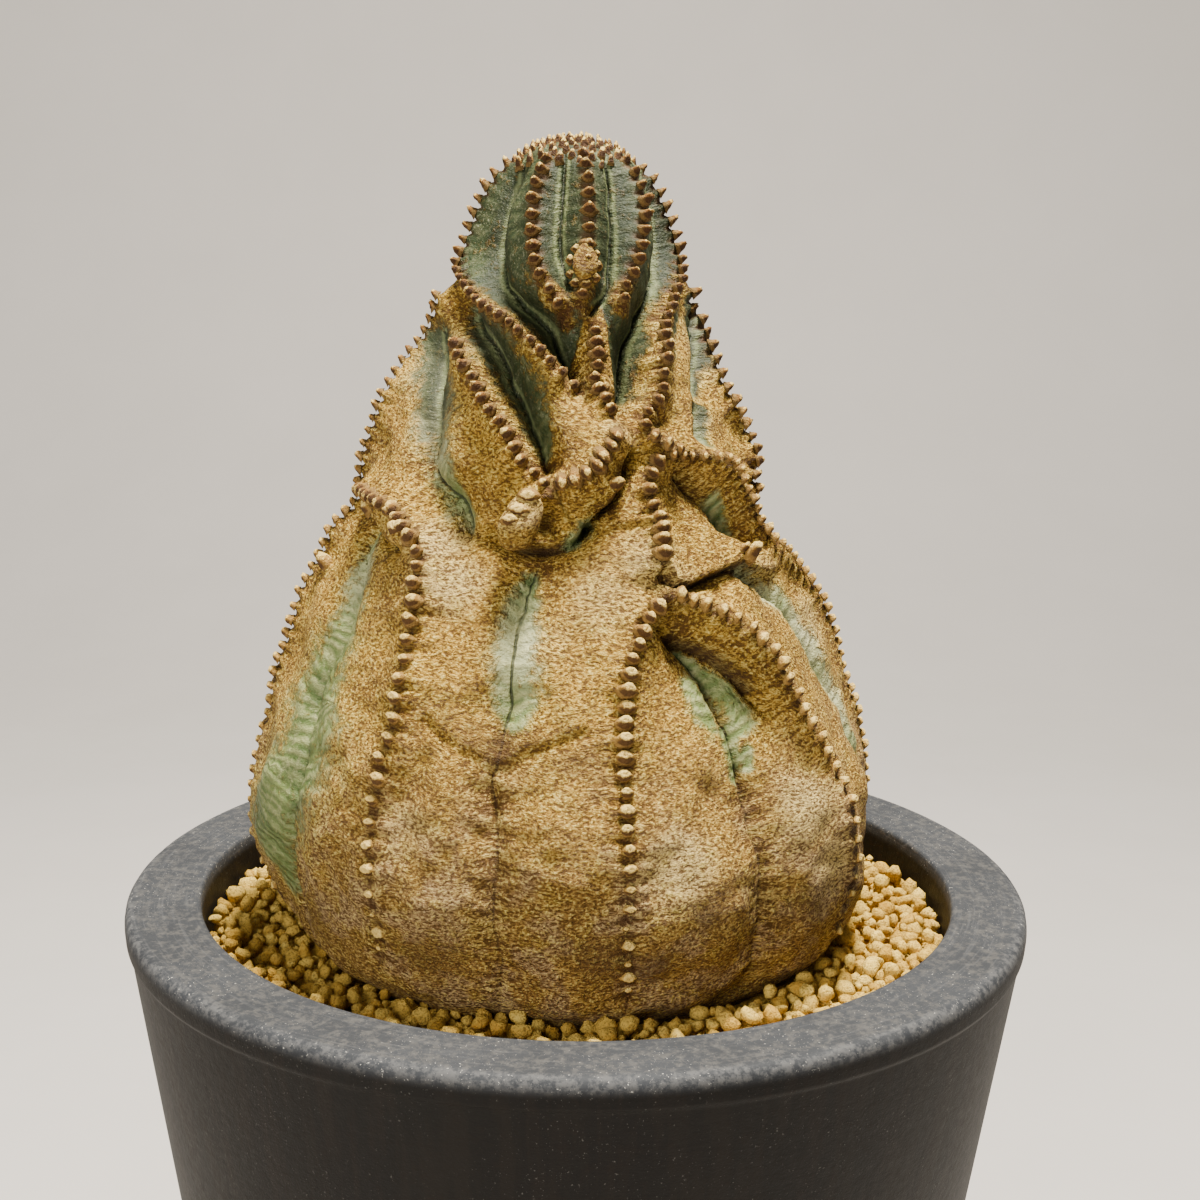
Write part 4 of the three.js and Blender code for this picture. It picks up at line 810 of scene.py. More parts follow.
# Cream scuffs, and painted highlights where a flank faces the light.
HIGHLIGHTS = [
    (-25.5, 57.4, 6, 0.7), (-32, 62, 5, 0.8), (10.5, 56.3, 7, 0.5), (22.5, 60, 6, 0.6),
    (19.5, 20, 6, 0.9), (47, 24.4, 6, 0.9), (52, 15, 6, 0.7), (-26, 24, 5, 0.5), (1.5, 51, 5, 0.3),
    (28.5, 58, 4, 0.5), (-14, 12, 7, 0.3), (36.5, 12, 6, 0.3), (-7.5, 50, 6, 0.6), (-62, 56, 5, 0.5),
    (78, 46, 6, 0.9), (79, 34, 6, 0.9), (64, 55, 5, 0.8), (-50, 79, 4, 0.8), (-64, 88, 7, 0.9),
    (-50, 81, 6, 0.9), (-42, 76, 4, 0.8), (-44, 93, 5, 0.5), (74, 90, 5, 0.9), (58, 80, 3, 0.7),
    (58, 60, 3, 0.6), (17, 79, 3, 0.5), (160, 40, 9, 0.4), (215, 60, 8, 0.5), (100, 50, 8, 0.4),
]


def tints(azimuth, height, rib):
    """How green each point of the plain body is, how much brown stain and painted shade it has, and how
    much cream scuff and painted highlight, from 0 to 1.
    """
    point, out = plain_point(azimuth, height), outward(azimuth, height)
    turned = (azimuth + 92) % 360 - 92
    green = step(height - np.interp(turned, *np.transpose(HEAD_EDGE)), -1.5, 1.5)
    green *= 1 - 0.9 * bell(rib[:, 0], 2.4 - 0.9 * step(height, 88, 94)) * (1 - step(height, 97, 103))
    for window in WINDOWS:
        window = np.array(window)
        line = traced(window[:, :2])[1]
        picked, distance, along, _, _, _ = near(point, out, line, 14)
        half = np.interp(along, lengths(line)[::4], window[:, 2])
        green[picked] = np.maximum(green[picked], np.clip((1.75 - distance / half) / 1.4, 0, 1))
    return stacked(green, *(np.max(bells(point, places), 0) for places in (STAINS_AND_SHADE, HIGHLIGHTS)))


def plant_skin():
    """Corky skin of cream granules over a brown ground, with painted highlights on the granules and painted
    shade between them, drawn into lines along the folds; brown stains, cream scuffs, painted shade in the
    crease valleys, in the fold slits, under the smile fold and between the tubercles, painted highlights on
    lit flanks, a dark line of painted shade down each crease, and grey-green windows with ragged golden
    edges and pale bands across the crease, with painted shade beside the head's creases and a painted
    highlight on their lips."""
    paint = Paint("plant_skin")
    at, mix, noise, ramp = paint.place, paint.mix, paint.noise, paint.ramp
    green, stain_and_shade, bleach_and_highlight = paint.parts(paint.attribute("tint", "Vector"))
    cleft, cleft_along, cleft_near = paint.parts(paint.attribute("crease", "Vector"))
    rib, rib_number, rib_near = paint.parts(paint.attribute("rib", "Vector"))
    fold, fold_along, fold_near = paint.parts(paint.attribute("fold", "Vector"))
    cleft, rib = abs(cleft), abs(rib)
    height = paint.parts(at)[2]
    low = 1 - ramp(height, POT_HEIGHT + 4, POT_HEIGHT + 44)
    head = ramp(height, POT_HEIGHT + 66, POT_HEIGHT + 84)
    drift = noise(at, 4, 2, 0.5, "Color")
    shiver = noise(at, 0.9, 2, 0.5, "Color")
    flow = paint.stretched(paint.shifted(at, drift, 1.6), 0.6, 0.6, 1.3)
    blotch = noise(at, 10, 4, 0.6)
    patch = noise(paint.shifted(at, drift, 3), 5, 3, 0.6)
    fleck = noise(at, 1.3, 3, 0.65)
    crinkle = noise(flow, 0.44, 3, 0.68)
    granule = 1 - ramp(paint.cells(paint.shifted(at, shiver, 0.6), 0.6), 0.12, 0.5)
    stretch = noise(paint.vector(fold * 2, fold_along * 0.34, blotch * 5), 1, 3, 0.6)
    across = noise(paint.vector(cleft_along * 1.7, cleft * 0.34, blotch * 5), 1, 3, 0.6)
    ribbed = noise(paint.vector(rib_number * 4.4, rib * 0.36, blotch * 5), 1, 3, 0.6)
    drawn_up = (stretch - 0.5) * fold_near + (across - 0.5) * cleft_near + (ribbed - 0.5) * rib_near * 0.7
    cork = crinkle * 0.9 + granule * 0.14 + 0.03 + drawn_up * 0.9
    # The cream granules carry a painted highlight and the brown between them painted shade, over their own
    # colours.
    light, brown_and_crevice_shade = ramp(cork, 0.5, 0.7), 1 - ramp(cork, 0.38, 0.56)

    edge = green + (fleck - 0.5) * 1.2 + (patch - 0.5) * 1.1 + (crinkle - 0.5) * 0.8
    leaf = ramp(edge, 0.22, 0.9)
    fringe = ramp(edge, 0, 0.4) * (1 - leaf)
    mauve = low * ramp(noise(at, 8, 3, 0.6), 0.46, 0.6)
    tan = paint.layers(
        mix(ramp(blotch, 0.36, 0.62), (160, 120, 38), (204, 158, 56)),
        (ramp(patch, 0.46, 0.62) * 0.6, (206, 160, 50)),
        # Painted shade in the valley along each crease.
        ((1 - ramp(cleft + (patch - 0.5) * 4, 0.6, 3.4)) * cleft_near * 0.5, (132, 98, 50)),
        (low * 0.6, (164, 126, 74)),
        (mauve * 0.6, (192, 162, 126)),
        # Cream scuffs, and painted highlights where a flank faces the light.
        (ramp(bleach_and_highlight + (patch - 0.5) * 0.5, 0.1, 0.8) * 0.75, (240, 210, 136)),
        (fringe * 0.7, (172, 144, 52)),
        # Painted highlight on the granules and painted shade between them, over their own cream and brown.
        (light * 0.7, (252, 222, 126)),
        (brown_and_crevice_shade * 0.94, (94, 62, 20)),
        # Brown stains, and painted shade under the smile fold's bulge and in the dimples by the bulb.
        (ramp(stain_and_shade + (patch - 0.5) * 0.7, 0.2, 0.75) * 0.6, (92, 64, 32)),
        # Painted shade in the slit under each fold's lip.
        (ramp(fold_near, 0.78, 0.96) * 0.8, (60, 40, 22)),
    )

    banding = (cleft_along * 3 + cleft * 0.7 + (patch - 0.5) * 14).math("SINE") * 0.5 + 0.5
    bright = banding * (1 - head * 0.85) * (1 - low * 0.6) * ramp(patch, 0.36, 0.6)
    bloom = ramp(noise(at, 0.42, 2, 0.6), 0.56, 0.68) * ramp(blotch, 0.4, 0.6)
    # Painted shade in the head's valleys beside each crease, and a painted highlight on the crease's lip.
    valley_shade = ramp(cleft, 0.8, 1.4) * (1 - ramp(cleft, 2, 3.6)) * head
    crease_lip_highlight = ramp(cleft, 0.4, 0.6) * (1 - ramp(cleft, 0.7, 1.1)) * head
    grey_green = paint.layers(
        mix(ramp(blotch, 0.36, 0.62), (66, 84, 40), (104, 118, 64)),
        # Pale scuffs and painted highlights on the green.
        (bleach_and_highlight * 0.9, (206, 202, 158)),
        (head * 0.9, (34, 44, 24)),
        (low * 0.6, (78, 92, 48)),
        (bright * 0.42, (190, 186, 130)),
        (ramp(fleck, 0.5, 0.68) * (0.3 - head * 0.2 - low * 0.1), (186, 180, 134)),
        ((1 - ramp(crinkle, 0.36, 0.5)) * 0.3, (66, 72, 40)),
        (bloom * head * 0.45, (164, 162, 132)),
        # Painted shade beside the head's creases, and a painted highlight on their lips.
        (valley_shade * 0.6, (30, 36, 18)),
        (crease_lip_highlight * 0.35, (140, 148, 100)),
    )
    # A dark line of painted shade down the narrow cleft of each crease.
    line = (1 - ramp(cleft + (fleck - 0.5) * 0.3, 0.05, 0.36)) * cleft_near * ramp(blotch, 0.3, 0.5, 0.5, 1)
    between = (rib_number * math.tau).math("COSINE")
    base = paint.layers(
        mix(leaf, tan, grey_green),
        (line * (0.85 - low * 0.5), mix(leaf, (66, 42, 24), (34, 40, 24))),
        # Painted shade round each row of tubercles, deepest in the gaps between them, over the brown of the
        # rib.
        ((1 - ramp(rib, 0.4, 1.7)) * (between * 0.35 + 0.4) * rib_near, (74, 44, 18)),
    )

    relief = cork * (1 - leaf * 0.85) * 2.2 + banding * leaf * (1 - head * 0.8) * 0.25 + fleck * 0.2
    relief = relief - line * 0.3 + between * rib_near * (1 - low) * (1 - head) * 0.35
    return paint.finish(base, 0.6 - leaf * 0.1 + fleck * 0.12, paint.bump(relief), 0.2)


heights = ring_heights()
azimuths = column_azimuths(heights)
columns = azimuths.shape[1]
grid_azimuth, grid_height = azimuths.ravel(), np.repeat(heights, columns)
points, fields = skin(grid_azimuth, grid_height)
fields["tint"] = tints(grid_azimuth, grid_height, fields["rib"])
ends = np.array([(np.interp(height, *LEAN.T), 0, height) for height in (OUTLINE[0][1], CROWN_HEIGHT)])
body = make_piece(
    "potted_plant_body", np.vstack([points, ends]) + (0, 0, POT_HEIGHT),
    closed_faces(len(heights), columns), plant_skin(),
    {name: np.concatenate([values, values[:1], values[-1:]]) for name, values in fields.items()},
)
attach(body, "root")
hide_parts("plant")


# ---- The scars ----
# Two corky lumps that grew over old wounds: a bulb over the middle fold that hangs to its lower end,
# and a flat oval scar on the head's front rib.

# Azimuth, height, half width, half length, half thickness, turn from upright, and rise off the skin.
LUMPS = [
    (-7.9, 66.4, 2.9, 4.8, 3.2, 24, 3),
    (7, 102.8, 1.9, 2.7, 0.9, 2, 0),
]
LUMP_RINGS = 22
LUMP_SECTORS = 32
# The bulb is below this height, and the oval scar above it.
HEAD_FOOT = 90


def lump(azimuth, height, wide, long, thick, lean, lift):
    """An egg on the skin: across = wide sin f cos a, along = -long cos f, out = thick sin f sin a, with
    its lower half up to a fifth fuller, its upper half as much slimmer, and its surface uneven."""
    place = np.array([azimuth], float), np.array([height], float)
    foot, out = skin(*place)[0][0], outward(*place)[0]
    tilt = math.radians(lean)
    around = unit(np.cross((0, 0, 1), out))
    up = np.cross(out, around)
    across = around * math.cos(tilt) - up * math.sin(tilt)
    along = around * math.sin(tilt) + up * math.cos(tilt)
    f = np.linspace(0, np.pi, LUMP_RINGS)[:, None, None]
    a = circle(LUMP_SECTORS)[:, None]
    full = 1 + 0.2 * np.cos(f)
    egg = across * wide * full * np.sin(f) * np.cos(a) - along * long * np.cos(f)
    egg = egg + out * thick * full * np.sin(f) * np.sin(a)
    egg = egg * (1 + 0.07 * unevenness(egg + foot, 1.7, 5) + 0.03 * unevenness(egg + foot, 0.8, 6))[..., None]
    egg = foot + out * lift + egg
    return np.vstack([egg[1:-1].reshape(-1, 3), egg[[0, -1], 0]])


lumps = np.vstack([lump(*values) for values in LUMPS])
lump_height, lowest = lumps[:, 2], lumps[:, 2].min()
# The bulb grows darker towards its lower end and paler above it; the oval scar is darker all over.
stain_and_shade = 0.5 * step(lump_height, lowest + 5, lowest + 1) + 0.5 * (lump_height > HEAD_FOOT)
scars = make_piece(
    "potted_plant_scars", lumps + (0, 0, POT_HEIGHT),
    closed_faces(LUMP_RINGS - 2, LUMP_SECTORS, len(LUMPS), outward=False), body.data.materials[0],
    {"tint": stacked(0.0, stain_and_shade, 0.5 - stain_and_shade)},
)
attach(scars, "root")
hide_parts("plant")


# ---- The tubercles ----
# Corky knobs, one behind the other along each rib, where leaves and flower stalks have dropped off.
# The old ones low down are worn to pale, pitted knobs. The young ones on the head are brown cones with
# cream, jagged tips, packed together on the crown.

# Single ones: azimuth, height, half width, half length, rise, age (0 worn to 1 young), lift off the skin.
SINGLE_TUBERCLES = [
    (-82, 54.4, 1.5, 1.4, 2, 0.3, 0), (53.4, 59.6, 1.3, 1.1, 1.7, 0.2, 0.2),
    (51.6, 60.3, 0.8, 0.7, 1.1, 0.5, 0), (55.2, 59, 0.8, 0.7, 1.2, 0.4, 0),
    (52.4, 58.6, 0.8, 0.7, 1, 0.4, 0.2), (-6, 70.2, 1.5, 1, 0.9, 0.3, 4),
    (-7.9, 68, 1.6, 1, 0.9, 0.3, 5.4), (-9.6, 65.8, 1.4, 0.9, 0.8, 0.2, 5.8),
    (6, 103.8, 0.6, 0.5, 0.4, 0.6, 0.8), (8.4, 102, 0.6, 0.5, 0.4, 0.6, 0.8),
    (0.6, 103.6, 0.7, 0.7, 0.6, 0.4, 0.1), (0.8, 101.8, 0.7, 0.7, 0.6, 0.3, 0.1),
    (3.4, 100.4, 0.8, 0.6, 0.6, 0.4, 0.1), (8, 99.9, 0.8, 0.6, 0.6, 0.3, 0.1),
    (11.8, 100.8, 0.7, 0.7, 0.6, 0.4, 0.1), (13.4, 102.6, 0.7, 0.7, 0.6, 0.3, 0.1),
    (12.6, 104.4, 0.7, 0.6, 0.6, 0.4, 0.1), (8.8, 105.7, 0.9, 0.6, 0.6, 0.4, 0.1),
    (3.4, 105.2, 0.8, 0.6, 0.6, 0.4, 0.1), (16, 72, 1.4, 1, 1.2, 0.5, 0),
    (-74, 64.6, 1.6, 1.4, 1.2, 0.3, 0), (-50, 66, 1.7, 1.3, 1, 0.1, 0), (-43, 62.6, 1.7, 1.2, 1, 0.1, 0),
]
TUBERCLE_RINGS = 6
TUBERCLE_SECTORS = 10
OVAL_POWER = 1.3
CROWN_TUBERCLES = 120
CROWN_SPACING = 0.9
GOLDEN_ANGLE = 2.39996
HIGHEST_TIP = 123.6


def row_places(tubercles, size, rise, width, spread, path):
    """The azimuth, height, direction down the row and size of each tubercle of a row."""
    places, line = traced(path)
    run = lengths(line)
    number = (np.arange(tubercles) + 0.5) / tubercles
    length = ((1 - spread) * number + spread * number**2) * run[-1]
    azimuth, height = (np.interp(length, run, values) for values in places.T)
    behind, ahead = (
        np.stack([np.interp(length + shift, run, axis) for axis in line.T], -1) for shift in (-0.3, 0.3)
    )
    return azimuth, height, ahead - behind, np.full(tubercles, size)


def tubercle_points(foot, out, down, wide, long, tall, age, random):
    """A stack of rings round the outward line: each is a pointed oval, radius = (|cos a|^p + |sin a|^p)
    ^ (-1/p), scaled by a profile that goes from a flat pitted knob (old) to a jagged cone (young). Also
    how far each point lies towards the upper end of the row, from -1 to 1."""
    across = unit(np.cross(down, out))
    down = np.cross(out, across)
    upper_side = np.sign(down[:, 2:] * -1 + 1e-9)
    foot, across, down, out = (vectors[:, None, None] for vectors in (foot, across, down, out))
    wide, long, tall, age = (numbers[:, None, None] for numbers in (wide, long, tall, age))
    knob = np.array([(1.3, -0.6), (1.06, 0), (0.98, 0.36), (0.8, 0.74), (0.5, 0.96), (0.2, 0.9)])
    cone = np.array([(1.4, -0.6), (1, 0), (0.88, 0.32), (0.7, 0.64), (0.46, 0.92), (0.18, 1.06)])
    ragged = np.array([0.1, 0.1, 0.12, 0.2, 0.34, 0.3])[None, :, None]
    reach, rise = np.moveaxis(knob * (1 - age) + cone * age, -1, 0)[..., None]
    a = circle(TUBERCLE_SECTORS)
    oval = (np.abs(np.cos(a)) ** OVAL_POWER + np.abs(np.sin(a)) ** OVAL_POWER) ** (-1 / OVAL_POWER)
    count = len(foot)
    jag = random.uniform(-1, 1, (count, TUBERCLE_RINGS, TUBERCLE_SECTORS))
    reach = reach * oval * (1 + ragged * (0.4 + 0.6 * age) * jag)
    rise = rise + 0.16 * (0.4 + age) * np.roll(jag, 1, 2) * (rise > 0.7)
    lean = random.uniform(-0.18, 0.18, (2, count, 1, 1))
    sideways = reach * np.cos(a) * wide + lean[0] * rise * tall
    downwards = reach * np.sin(a) * long + (lean[1] - 0.22) * rise * tall
    rings = foot + across * sideways[..., None] + down * downwards[..., None] + out * (rise * tall)[..., None]
    base = rings[:, 0].mean(1, keepdims=True)
    pit = rings[:, -1].mean(1, keepdims=True) - out[:, 0] * (0.2 * (1 - age) * tall)
    upper = np.hstack([(-reach * np.sin(a)).reshape(count, -1) * upper_side, np.zeros((count, 2))])
    return np.concatenate([rings.reshape(count, -1, 3), base, pit], 1), upper


def tubercle_cork():
    """Cork that is tan at the foot and brown on the flanks, with painted shade on the lower side, and
    cream where the top has dried, with a painted highlight on the upper side."""
    paint = Paint("tubercle_cork")
    mix, ramp = paint.mix, paint.ramp
    level, upper, age = paint.parts(paint.attribute("cork", "Vector"))
    fleck = paint.noise(paint.place, 0.5, 3, 0.65)
    blotch = paint.noise(paint.place, 2.2, 2, 0.5)
    foot = mix(age * 0.7, mix(blotch, (142, 104, 46), (180, 142, 72)), (96, 76, 42))
    flank = mix(age, (160, 120, 52), (118, 78, 32))
    flank = mix(ramp(fleck, 0.48, 0.66) * 0.5, flank, (196, 158, 82))
    # Painted shade on the lower side of each tubercle.
    underside_shade = ramp(upper * -1 + (fleck - 0.5) * 0.6, 0, 0.45) * ramp(level, 0, 0.2)
    # Cream on the dried top, and a painted highlight on the upper side.
    shown = level + upper * 0.5 + (fleck - 0.5) * 1.3 + (blotch - 0.5) * 0.6 - age * 0.4 + 0.25
    base = paint.layers(
        mix(ramp(level + (fleck - 0.5) * 0.5, 0.12, 0.45), foot, flank),
        (underside_shade, mix(age, (88, 60, 28), (66, 42, 18))),
        (ramp(shown, 0.66, 1.05), mix(blotch, (204, 166, 84), (236, 206, 122))),
    )
    return paint.finish(base, 0.66 + fleck * 0.2, paint.bump(fleck * 0.8 + blotch * 0.3), 0.2)


random = np.random.default_rng(11)
rows = [row_places(*row) for row in ROWS.values()]
row_azimuth, row_height, row_down, row_size = (np.concatenate(values) for values in zip(*rows))
row_azimuth = row_azimuth + random.uniform(-0.4, 0.4, len(row_azimuth))
row_foot, row_out = skin(row_azimuth, row_height)[0], outward(row_azimuth, row_height)
worn = 1 - step(row_height, 4, 30)
upright = np.abs(row_down[:, 2]) / np.linalg.norm(row_down, axis=1)
row_size = row_size * random.uniform(0.8, 1.18, len(row_size))
# Low down, every second one has stayed a mere dot.
row_size *= np.where((row_height < 13) & (np.arange(len(row_size)) % 2 == 0), 0.5, 1)
on_head = step(row_height, 88, 100)
row_shape = (
    row_size * (0.98 + 0.2 * upright - 0.1 * worn + 0.06 * on_head),
    row_size * (0.98 - 0.12 * upright),
    row_size * (0.86 - 0.24 * worn + 0.24 * on_head),
)
# Young tubercles fill the crown on a sunflower spiral about the growing point.
number = np.arange(1, CROWN_TUBERCLES + 1)
crown_azimuth = np.degrees(number * GOLDEN_ANGLE) % 360
crown_radius = CROWN_SPACING * np.sqrt(number - 0.7)
falling = outline_line[-60:][::-1]
crown_height = np.interp(crown_radius, falling[:, 0], falling[:, 1])
crown_out = unit(outward(crown_azimuth, crown_height) * 0.5 + (0, 0, 0.6))
crown_size = random.uniform(0.5, 0.95, CROWN_TUBERCLES)
crown_rise = np.minimum(1.3 * crown_size, (HIGHEST_TIP - crown_height) / 1.35)
angle = np.radians(crown_azimuth)
crown_down = stacked(np.sin(angle), -np.cos(angle), -0.2)
single = np.array(SINGLE_TUBERCLES).T
single_out = outward(single[0], single[1])
single_foot = skin(single[0], single[1])[0] + single_out * single[6][:, None]
single_down = np.tile([0.0, 0, -1], (len(single_foot), 1))
groups = [
    (row_foot, row_out, row_down, *row_shape, step(row_height, 22, 94)),
    (plain_point(crown_azimuth, crown_height), crown_out, crown_down,
     0.85 * crown_size, 0.72 * crown_size, crown_rise, np.ones(CROWN_TUBERCLES)),
    (single_foot, single_out, single_down, *single[2:6]),
]
values = [np.concatenate(parts) for parts in zip(*groups)]
tubercle_grid, upper = tubercle_points(*values, random)
levels = np.concatenate([np.repeat([0, 0.1, 0.35, 0.65, 0.95, 1], TUBERCLE_SECTORS), [0, 0.8]])
raised = np.repeat([1, 1.3, 1], [len(row_size), CROWN_TUBERCLES, len(SINGLE_TUBERCLES)])[:, None]
cork = stacked(levels * raised, upper, values[-1][:, None])
tubercles = make_piece(
    "potted_plant_tubercles", tubercle_grid.reshape(-1, 3) + (0, 0, POT_HEIGHT),
    closed_faces(TUBERCLE_RINGS, TUBERCLE_SECTORS, len(tubercle_grid)),
    tubercle_cork(), {"cork": cork.reshape(-1, 3)},
)
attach(tubercles, "root")
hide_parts("plant")


# ---- The grit ----
# A bed of yellow akadama clay grit fills the pot round the root, topped with loose grains of 1 to 4 mm.

BED_LEVEL = -9.6
GRIT_TOP = -4.6
GAP = 0.4
ROOT_X = LEAN[0, 1]
BED_SECTORS = 180
GRAINS = 2400
GRAIN_RINGS = 5
GRAIN_SECTORS = 8
# The radii of the grains and the share of each, the ring that they may lie in, how near two middles
# come as a share of their radii together, and how many spots each can choose from.
GRAIN_RADII = [0.6, 0.85, 1.1, 1.35, 1.65]
GRAIN_SHARES = [0.16, 0.26, 0.3, 0.2, 0.08]
INNERMOST, OUTERMOST = 44, 61.5
TOUCHING = 0.86
SPOTS = 10


def inner_radius(height):
    """The radius of the pot's inner wall at a height above the rim."""
    return MOUTH_RADIUS + (MOUTH_RADIUS - FLOOR_RADIUS) * height / (POT_HEIGHT - FLOOR_HEIGHT)


def bed_points():
    """The bed's section turned round: the pocket under the root, about the root's own axis, then the
    top, uneven by 0.6 mm, and the side against the pot, about the pot's axis. Also how many rings."""
    pocket = outline_line[outline_line[:, 1] < BED_LEVEL][::6]
    wall = inner_radius(BED_LEVEL) - GAP
    top = np.linspace(pocket[-1, 0] + 1.5, wall, 9)
    bottom = FLOOR_HEIGHT - POT_HEIGHT + GAP
    section = np.vstack([
        pocket[1:] + (GAP, -GAP),
        np.stack([top, np.full(9, BED_LEVEL)], -1),
        [(inner_radius(bottom) - GAP, bottom)],
    ])
    radius, height = section.T[:, :, None]
    angle = circle(BED_SECTORS)
    middle = np.interp(radius, (pocket[-1, 0], wall), (ROOT_X, 0)) * (height > bottom + 1)
    grid = stacked(middle + radius * np.sin(angle), -radius * np.cos(angle), height)
    on_top = (np.arange(len(section)) >= len(pocket) - 1) & (section[:, 1] > bottom + 1)
    grid[on_top, :, 2] += 0.6 * unevenness(grid[on_top], 2.4, 12)
    poles = [(ROOT_X, 0, pocket[0, 1] - GAP), (0, 0, bottom)]
    return np.vstack([grid.reshape(-1, 3), poles]), len(section)


def settled_grains(random):
    """The middle and radius of each grain. One after the other, each goes to the lowest of several
    random spots, where it touches the bed or the grains below it, until the top is full."""
    heights, directions = np.arange(-10.0, 5.0), np.arange(0, 360, 3.0)
    around, up = np.meshgrid(directions, heights)
    skin_points = skin(around.ravel(), up.ravel())[0].reshape(*around.shape, 3)
    bulge = np.hypot(skin_points[..., 0] - ROOT_X, skin_points[..., 1])
    bulge = np.maximum.accumulate(bulge, 0)
    middles, radii = np.zeros((GRAINS, 3)), np.zeros(GRAINS)
    placed = 0
    for _ in range(3 * GRAINS):
        radius = random.choice(GRAIN_RADII, p=GRAIN_SHARES)
        radius *= random.uniform(0.88, 1.12)
        angle = random.uniform(0, 2 * np.pi, SPOTS)
        reach = np.sqrt(random.uniform(INNERMOST**2, OUTERMOST**2, SPOTS))
        x, y = reach * np.sin(angle), -reach * np.cos(angle)
        there, there_radii = middles[:placed], radii[:placed]
        flat = np.hypot(x[:, None] - there[:, 0], y[:, None] - there[:, 1])
        touching = (radius + there_radii) * TOUCHING
        rest = there[:, 2] + np.sqrt(np.maximum(touching**2 - flat**2, 0))
        z = np.where(flat < touching, rest, BED_LEVEL).max(1, initial=BED_LEVEL + 0.6 * radius)
        row = np.clip(np.round(z - heights[0]).astype(int), 0, len(heights) - 1)
        column = np.degrees(np.arctan2(x - ROOT_X, -y)) % 360 / directions[1]
        plant = bulge[row, column.astype(int) % len(directions)]
        clear = (np.hypot(x - ROOT_X, y) > plant + 0.75 * radius) & (reach < inner_radius(z) - 0.9 * radius)
        z = np.where(clear, z, np.inf)
        best = z.argmin()
        if z[best] + radius * 0.5 > GRIT_TOP + 0.8 * random.uniform() or placed == GRAINS:
            continue
        middles[placed], radii[placed] = (x[best], y[best], z[best]), radius
        placed += 1
    return middles[:placed], radii[:placed]


def grain_points(middles, radii, random):
    """Lumps with blunt facets: in each direction, a grain reaches to the nearest of nine random planes,
    or a little beyond its own radius where none is nearer."""
    count = len(radii)
    f, a = np.linspace(0, np.pi, GRAIN_RINGS + 2)[1:-1, None], circle(GRAIN_SECTORS)
    around = stacked(np.sin(f) * np.cos(a), np.sin(f) * np.sin(a), -np.cos(f)).reshape(-1, 3)
    directions = np.vstack([around, (0, 0, -1), (0, 0, 1)])
    normals = unit(random.normal(size=(count, 9, 3)))
    depth = random.uniform(0.56, 0.88, (count, 9, 1))
    facing = normals @ directions.T
    reach = np.where(facing > 0.2, depth / np.maximum(facing, 0.2), 1.12).min(1)
    shape = directions * np.minimum(reach, 1.12)[..., None]
    shape = shape * random.uniform(0.82, 1.18, (count, 1, 3)) + random.normal(0, 0.06, (*reach.shape, 3))
    turn = np.linalg.qr(random.normal(size=(count, 3, 3)))[0]
    turn[:, :, 0] *= np.linalg.det(turn)[:, None]
    return middles[:, None] + (shape * radii[:, None, None]) @ np.swapaxes(turn, 1, 2)


def clay_grit():
    """Dusty ochre clay, a little different from grain to grain, with small pores."""
    paint = Paint("clay_grit")
    tone = paint.attribute("tone")
    dust = paint.noise(paint.place, 1.1, 3, 0.6)
    pores = paint.noise(paint.place, 0.35, 3, 0.7)
    base = paint.layers(
        paint.mix(tone, (186, 142, 50), (242, 208, 106)),
        (paint.ramp(dust, 0.4, 0.65) * 0.6, (218, 180, 80)),
        ((1 - paint.ramp(pores, 0.36, 0.52)) * 0.7, (120, 86, 36)),
    )
    return paint.finish(base, 0.88 + pores * 0.1, paint.bump(pores * 0.5 + dust * 0.4), 0.2)


grit = clay_grit()
bed_grid, bed_rings = bed_points()
bed = make_piece(
    "potted_plant_grit_bed", bed_grid + (0, 0, POT_HEIGHT),
    closed_faces(bed_rings, BED_SECTORS, outward=False), grit, {"tone": np.full(len(bed_grid), 0.1)},
)
random = np.random.default_rng(5)
middles, radii = settled_grains(random)
grain_grid = grain_points(middles, radii, random)
total, each = grain_grid.shape[:2]
grains = make_piece(
    "potted_plant_grains", grain_grid.reshape(-1, 3) + (0, 0, POT_HEIGHT),
    closed_faces(GRAIN_RINGS, GRAIN_SECTORS, total),
    grit, {"tone": np.repeat(random.uniform(0, 1, total), each)},
)
for piece in (bed, grains):
    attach(piece, "root")
    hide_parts("soil")


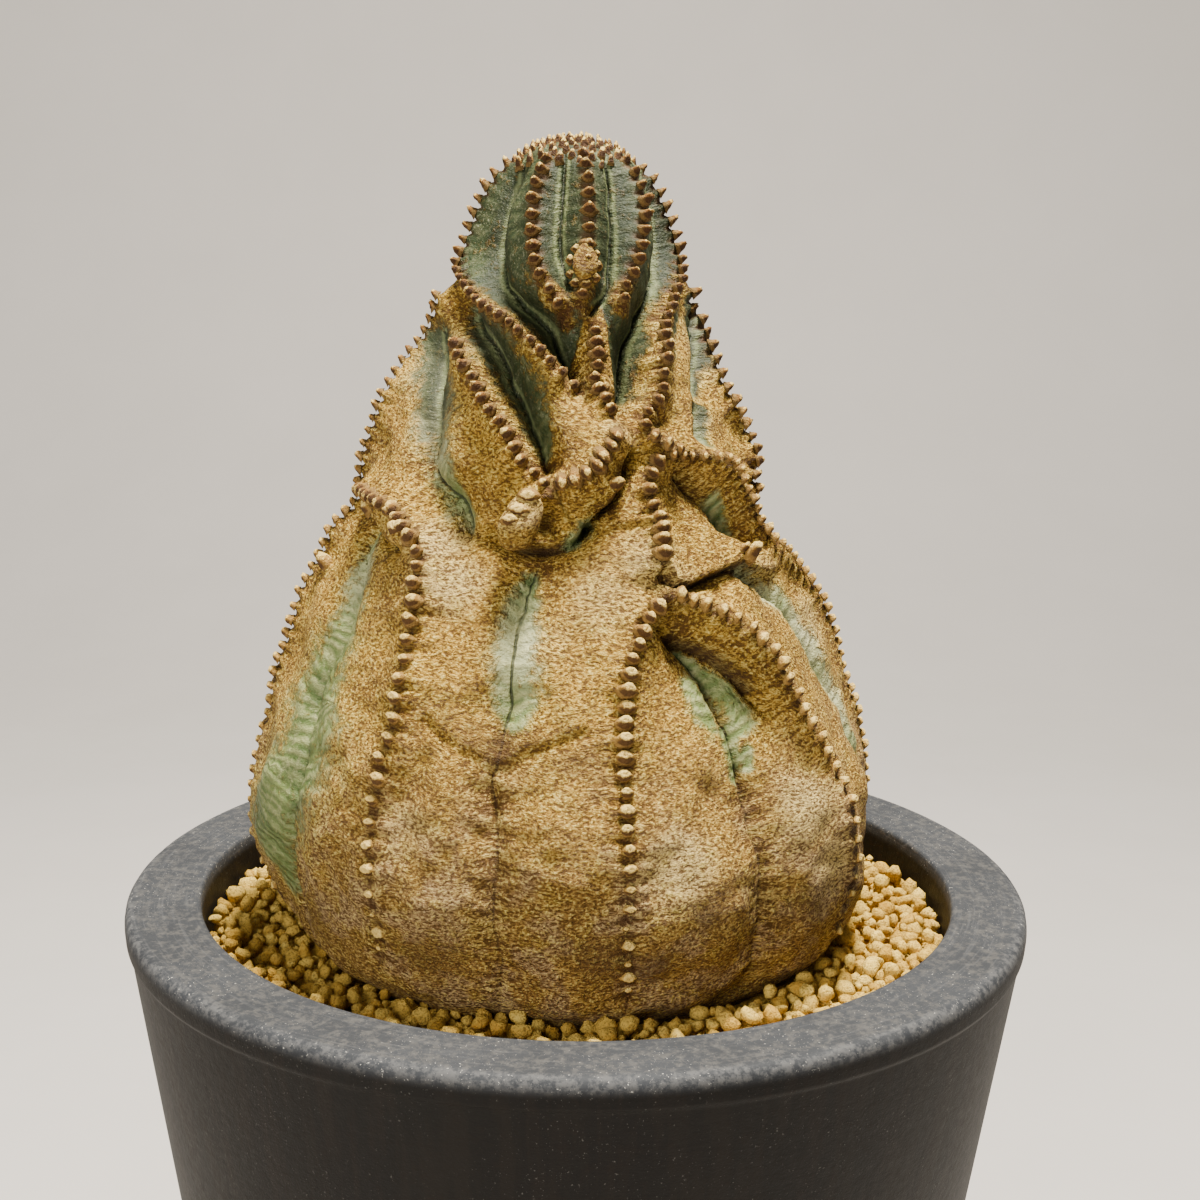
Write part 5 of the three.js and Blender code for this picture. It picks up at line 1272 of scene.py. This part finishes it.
# ---- The studio ----
# A pale floor that sweeps up behind the pot, a soft light overhead, and a weak fill from the front.

SWEEP = rounded([(-1400, 0, 0), (900, 0, 420), (900, 1500, 0)], 14)[:-14]
sweep_points = np.array([(x, y, z) for y, z in SWEEP for x in (-1800, 1800)])
paint = Paint("floor_paint")
shade = paint.noise(paint.place, 60, 3, 0.6)
backdrop = make_piece(
    "floor", sweep_points, [grid_faces(len(SWEEP), 2, close_columns=False)],
    paint.finish(paint.mix(shade, (198, 192, 184), (206, 200, 193)), 0.8, paint.bump(shade)),
)

AIM = Vector((0, 0, 0.2))
for name, place, size, power, tint in (
    ("overhead", (0.08, 0.0, 0.8), 0.14, 20.0, (1, 0.95, 0.86)),
    ("front_fill", (-0.46, -0.84, 0.46), 0.5, 11.0, (1, 0.97, 0.92)),
):
    light = bpy.data.objects.new(name, bpy.data.lights.new(name, "AREA"))
    light.data.energy, light.data.size, light.data.color = power, size, tint
    light.location = place
    light.rotation_euler = (AIM - light.location).to_track_quat("-Z", "Y").to_euler()
    bpy.context.scene.collection.objects.link(light)
world = bpy.data.worlds.new("studio")
world.use_nodes = True
background = world.node_tree.nodes["Background"].inputs
background["Color"].default_value = (0.9, 0.94, 1, 1)
background["Strength"].default_value = 0.27
bpy.context.scene.world = world

# The camera stands 300 mm in front, a little above the crown's height, and looks down by 12 degrees.
CAMERA_PLACE = (0.0032, -0.299, 0.2425)
PITCH, ROLL = 0.21145, 0.0139
SENSOR_WIDTH, LENS = 36, 55.56
ahead = Vector((0, math.cos(PITCH), -math.sin(PITCH)))
level = Vector((1, 0, 0))
square = level.cross(ahead)
right = level * math.cos(ROLL) + square * math.sin(ROLL)
above = square * math.cos(ROLL) - level * math.sin(ROLL)
camera = bpy.data.objects.new("camera", bpy.data.cameras.new("camera"))
camera.data.sensor_width, camera.data.lens = SENSOR_WIDTH, LENS
turned = Matrix((right, above, -ahead)).transposed().to_4x4()
camera.matrix_world = Matrix.Translation(CAMERA_PLACE) @ turned
bpy.context.scene.collection.objects.link(camera)
bpy.context.scene.camera = camera
